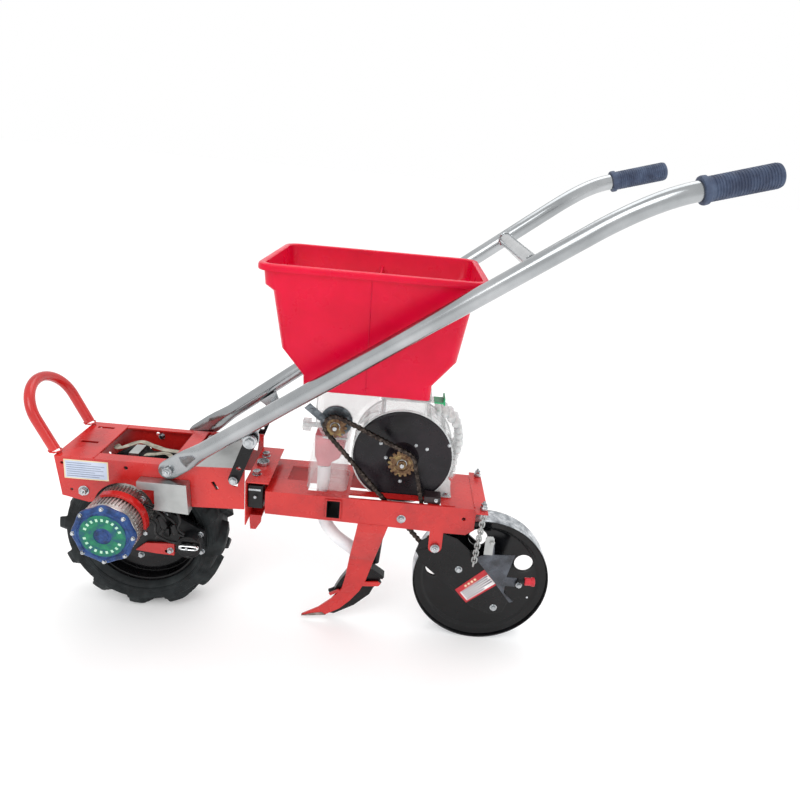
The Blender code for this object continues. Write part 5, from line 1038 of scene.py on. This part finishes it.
line = belt_line(wraps)
run = np.concatenate([[0], np.cumsum(np.linalg.norm(np.diff(line, axis=0), axis=1))])
links = 2 * round(run[-1] / pitch / 2)
pins = np.linspace(0, run[-1], links, endpoint=False)
pin_x, pin_z = (np.interp(pins, run, line[:, k]) for k in (0, 1))
step = np.stack([np.roll(pin_x, -1) - pin_x, 0 * pin_x, np.roll(pin_z, -1) - pin_z], -1)
ahead = step / np.linalg.norm(step, axis=1, keepdims=True)
above = np.stack([-ahead[:, 2], 0 * pin_x, ahead[:, 0]], -1)
spots = np.stack([pin_x, 0 * pin_x, pin_z], -1)
waist_x = np.array([-0.0036, -0.0030, -0.0014, 0.0, 0.0022, 0.0048, 0.0073, 0.0095, 0.0109, 0.0125, 0.0131])
waist_h = np.array([0.0008, 0.0026, 0.0039, 0.0041, 0.0034, 0.0027, 0.0034, 0.0041, 0.0039, 0.0026, 0.0008])


def strip_plate(low, high):
    """The figure of eight of one link plate, as four points at each station along it."""
    rows = [np.stack([waist_x, 0 * waist_x + y, s * waist_h], -1) for y,
            s in ((low, -1), (low, 1), (high, 1), (high, -1))]
    points = np.stack(rows, 1)
    count = len(waist_x)
    ends_too = [(0, 1, 2, 3), tuple(4 * count - k for k in (1, 2, 3, 4))]
    return points.reshape(-1, 3), np.concatenate([grid_faces(count, 4, False, True), np.array(ends_too)])


chain_mid = -0.0550
chain = []
for which, gap in ((slice(0, None, 2), 0.0018), (slice(1, None, 2), 0.0028)):
    for sign in (-1, 1):
        low, high = sorted((chain_mid + sign * gap, chain_mid + sign * (gap + 0.0009)))
        points, faces = strip_plate(low, high)
        chain.append(copies(points, faces, spots[which], ahead[which], above[which]))
roller, roller_faces = turned([(0, -0.0034), (0.0016, -0.0034), (0.0016, -0.0019), (0.0030, -0.0018),
                               (0.0030, 0.0018),
                               (0.0016, 0.0019), (0.0016, 0.0034), (0, 0.0034)], (0, 0, 0), "y", 10)
chain.append(copies(roller.reshape(-1, 3), roller_faces, spots + [0, chain_mid, 0], ahead, above))
make_piece("roller_chain", chain, oily_steel, "rear_frame", ("drive_chain",), sharp=40)

# ---- Press arm ------------------------------------------------------------------------
# A black steel chain case swings on the pivot; a grey gusset is screwed to it and carries a
# bright tab, the slack chains' fitting and the clutch lever with its red rubber end.
grey_enamel = finish("grey_hammer_enamel", ("#26292F", "#3A3E46", "#4C515A"), (0.20, 0.38), patch=26,
                     grain=2.0, lift=0.06)
# Red rubber: the sleeve that marks where to hold the lever.
lever_red = finish("red_lever_rubber", ("#A81220", "#C71E2E"), (0.3, 0.45), patch=16, grain=0.8, lift=0.03)
# Red print: the ground of the generic label.
label_red = finish("label_red_print", ("#A8141F", "#C02230"), (0.35, 0.5), patch=20, grain=1.0, lift=0.01)
# White paper: the light panel of the label.
label_white = finish("label_white_paper", ("#DEDADA", "#F0EDED"), (0.4, 0.5), patch=20, grain=1.0, lift=0.01)
# Grey print: plain lines in place of text.
label_grey = finish("label_grey_print", ("#5D5B63", "#77757C"), (0.4, 0.5), patch=20, grain=1.0, lift=0.01)
case_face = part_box("arm_cover")[0][1]
dress("arm_cover", black_stove, 0.0016)
dress("arm_far_bar", black_stove, 0.0008)
dress("arm_gusset", grey_enamel, 0.0007)
dress("clutch_lever", black_stove, 0.0006)
dress("press_axle", bright_zinc, 0.0006)
corners = np.array([(0.6267, 0.1211), (0.6812, 0.1753), (0.7107, 0.1437), (0.6517, 0.0930)])


def sticker(left, right, bottom, top, low, high):
    """Part of the label between shares of its length and height."""
    shares = [(left, top), (right, top), (right, bottom), (left, bottom)]
    outline = [(corners[0] * (1 - u) + corners[1] * u) * v + (corners[3] * (1 - u) + corners[2] * u) * (1 - v)
               for u, v in shares]
    return plate(outline, low, high)


face = case_face - 0.0001
make_piece("case_label_ground", [sticker(0, 1, 0, 1, face - 0.0004, face)], label_red, "press_arm")
make_piece("case_label_paper", [sticker(0.06, 0.93, 0.10, 0.70, face - 0.0006, face - 0.0003)], label_white,
           "press_arm")
make_piece("case_label_lines", [sticker(0.09, right, low, low + 0.060, face - 0.0008, face - 0.0005)
                                for right, low in ((0.62, 0.15), (0.90, 0.27), (0.90, 0.39), (0.86, 0.51),
                                                   (0.90, 0.62))],
           label_grey, "press_arm")
make_piece("case_label_heading", [sticker(left, left + 0.055, 0.78, 0.90, face - 0.0006, face - 0.0003)
                                  for left in (0.26, 0.36, 0.46, 0.56)], label_frame, "press_arm")
arm_bolts = []
for x, z in ((0.6286, 0.1680), (0.7068, 0.0870)):
    arm_bolts += [washer((x, 0, z), "y", 0.0072, case_face - 0.0012, case_face - 0.0001),
                  hexagon((x, 0, z), "y", 0.0090, case_face - 0.0050, case_face - 0.0012)]
arm_bolts += [washer((0.7464, 0, 0.1536), "y", 0.0062, -0.0764, -0.0751),
              hexagon((0.7464, 0, 0.1536), "y", 0.0075, -0.0800, -0.0764)]
make_piece("arm_bolts", arm_bolts, bright_zinc, "press_arm", sharp=30)
tab = [plate([(0.6710, 0.2120), (0.6880, 0.2120), (0.6880, 0.2470), (0.6850, 0.2520), (0.6740, 0.2520),
              (0.6710, 0.2470)], -0.0712, -0.0692)]
make_piece("spring_tab", tab + [washer((0.6840, 0, 0.2400), "y", 0.0055, -0.0722, -0.0712),
                                hexagon((0.6840, 0, 0.2400), "y", 0.0070, -0.0760, -0.0722)],
           galvanised, "press_arm", bevel=0.0004)
lever_x = np.linspace(0, 1, 60)
lever_r = np.interp(lever_x, [0, 0.05, 0.62, 0.70, 0.78, 0.96, 1.0],
                    [0.0066, 0.0074, 0.0072, 0.0085, 0.0087, 0.0084, 0.0066])
lever_path = np.column_stack([0.7564 + 0.0196 * lever_x, np.full(60, -0.0736), np.full(60, 0.1620)])
make_piece("lever_end", [swept(lever_path, lever_r, sides=32)], lever_red, "lever",
           ("lever_grip",), sharp=40)


def link_chain(top, low, count):
    """Links of round wire, each turned a quarter about the chain from the one before."""
    top, low = np.array(top), np.array(low)
    down = (low - top) / np.linalg.norm(low - top)
    across = np.cross(down, [0.35, 0.94, 0.0])
    across /= np.linalg.norm(across)
    other = np.cross(down, across)
    gap = np.linalg.norm(low - top) / count
    a = np.linspace(0, 2 * np.pi, 20, endpoint=False)
    half = max(gap * 0.5 + 0.0022 - 0.0044, 0.0004)
    loop = np.stack([0.0044 * np.cos(a), 0 * a, 0.0044 * np.sin(a) + half * np.sign(np.sin(a))], -1)
    ring, ring_faces = swept(np.concatenate([loop, loop[:1]]), 0.0017, sides=8, capped=False)
    middles = top + down * ((np.arange(count) + 0.5) * gap)[:, None]
    patches = []
    for part, side in ((slice(0, None, 2), across), (slice(1, None, 2), other)):
        number = len(middles[part])
        third = np.repeat(down[None], number, 0)
        first = np.repeat(side[None], number, 0)
        patches.append(copies(ring.reshape(-1, 3), np.array(ring_faces), middles[part], first, third,
                              np.cross(third, first)))
    return patches


for name, top, low in (("near", (0.6605, -0.0754, 0.3000), (0.6535, -0.0754, 0.1900)),
                       ("far", (0.6605, 0.0754, 0.3000), (0.6535, 0.0660, 0.1650))):
    slack = make_piece("slack_chain_" + name, link_chain(top, low, 14 if name == "near" else 17), galvanised,
                       "rear_frame",
                       ("link_chain_" + name,), ride=False)
    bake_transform(slack)

# ---- Press wheel ----------------------------------------------------------------------
# A spun steel dish, 270 mm across, enamelled black with a wide tread that the soil has worn
# bright. Three round windows lighten it.
wheel_black = finish("black_gloss_enamel", ("#030304", "#07080A", "#101114"), (0.10, 0.30), patch=55,
                     grain=3.0, lift=0.03,
                     Specular_IOR_Level=0.30)
# Worn steel: patchy and bright where the wheel rolls on the soil.
worn_tread = finish("worn_tread_steel", ("#6A6E73", "#A4A9AE", "#DDE0E3"), (0.22, 0.45), patch=20, grain=1.6,
                    lift=0.05,
                    metal=0.85)
wheel = (0.6763, 0.0, 0.1347)
near_line = [(0.1125, -0.0365), (0.1150, -0.0375), (0.1175, -0.0405), (0.1200, -0.0412), (0.1290, -0.0412),
             (0.1310, -0.0420),
             (0.1322, -0.0480), (0.1330, -0.0488), (0.1342, -0.0488), (0.1343, -0.0480), (0.1343, -0.0045),
             (0.1335, -0.0040),
             (0.1318, -0.0042), (0.1316, -0.0375), (0.1160, -0.0375), (0.1125, -0.0335)]
hub_line = [(0.0300, -0.0335), (0.0280, -0.0310), (0.0280, -0.0205), (0.0260, -0.0200), (0.0083, -0.0200),
            (0.0083, -0.0440),
            (0.0180, -0.0440), (0.0205, -0.0430), (0.0240, -0.0390), (0.0300, -0.0365)]
k = np.arange(16) / 16
edge_a = np.radians(np.concatenate([-36 + 72 * k, np.full(16, 36.0), 36 - 72 * k, np.full(16, -36.0)]))
edge_r = np.concatenate([np.full(16, 0.1125), 0.1125 - 0.0825 * k, np.full(16, 0.0300), 0.0300 + 0.0825 * k])
edge = np.stack([edge_r * np.cos(edge_a), edge_r * np.sin(edge_a)], -1)
hole_a = np.radians(-45 + 360 * np.arange(64) / 64)
hole = np.stack([0.0925 + 0.0185 * np.cos(hole_a), 0.0185 * np.sin(hole_a)], -1)
share = np.array([0, 0.03, 0.08, 0.16, 0.4, 0.7, 1.0])
lip = np.array([0.0006, 0.0012, 0.0008, 0.0, 0.0, 0.0, 0.0])
sector = hole[None] * (1 - share)[:, None, None] + edge[None] * share[:, None, None]
dish = [turned(near_line, wheel, "y", 80), turned(hub_line, wheel, "y", 80)]
# The lower two of the five windows are closed with flush black faces: painted shade for the dark view through
# them.
for number in range(5):
    a = math.radians(27 + 72 * number)
    flat = [wheel[0] + sector[..., 0] * math.cos(a) - sector[..., 1] * math.sin(a),
            wheel[2] + sector[..., 0] * math.sin(a) + sector[..., 1] * math.cos(a)]
    rolled = lip[:, None] * (number < 3)
    front = np.stack([flat[0], -0.0365 - rolled + 0 * flat[0], flat[1]], -1)
    back = np.stack([flat[0], -0.0335 - 0.3 * rolled + 0 * flat[0], flat[1]], -1)
    dish += [(front, grid_faces(7, 64, False, True)), (back, grid_faces(7, 64, False, True))]
    if number < 3:
        dish.append((np.stack([front[0], back[0]]), grid_faces(2, 64, False, True)))
    else:
        dish += [(side[0], [list(range(64))]) for side in (front, back)]
make_piece("press_dish", dish, wheel_black, "press", ("press_wheel",), sharp=45)
make_piece("press_tread", [turned([(0.1341, -0.0470), (0.1346, -0.0462), (0.1347, -0.0400),
                                   (0.1347, -0.0080), (0.1346, -0.0058),
                                   (0.1341, -0.0050)], wheel, "y", 160, closed=True)], worn_tread, "press")
make_piece("press_wheel_plug", [stud((wheel[0] + 0.1080 * math.cos(-0.36), 0,
                                      wheel[2] + 0.1080 * math.sin(-0.36)), "y", 0.0022, -0.0372, -0.0360)],
           worn_tread, "press")
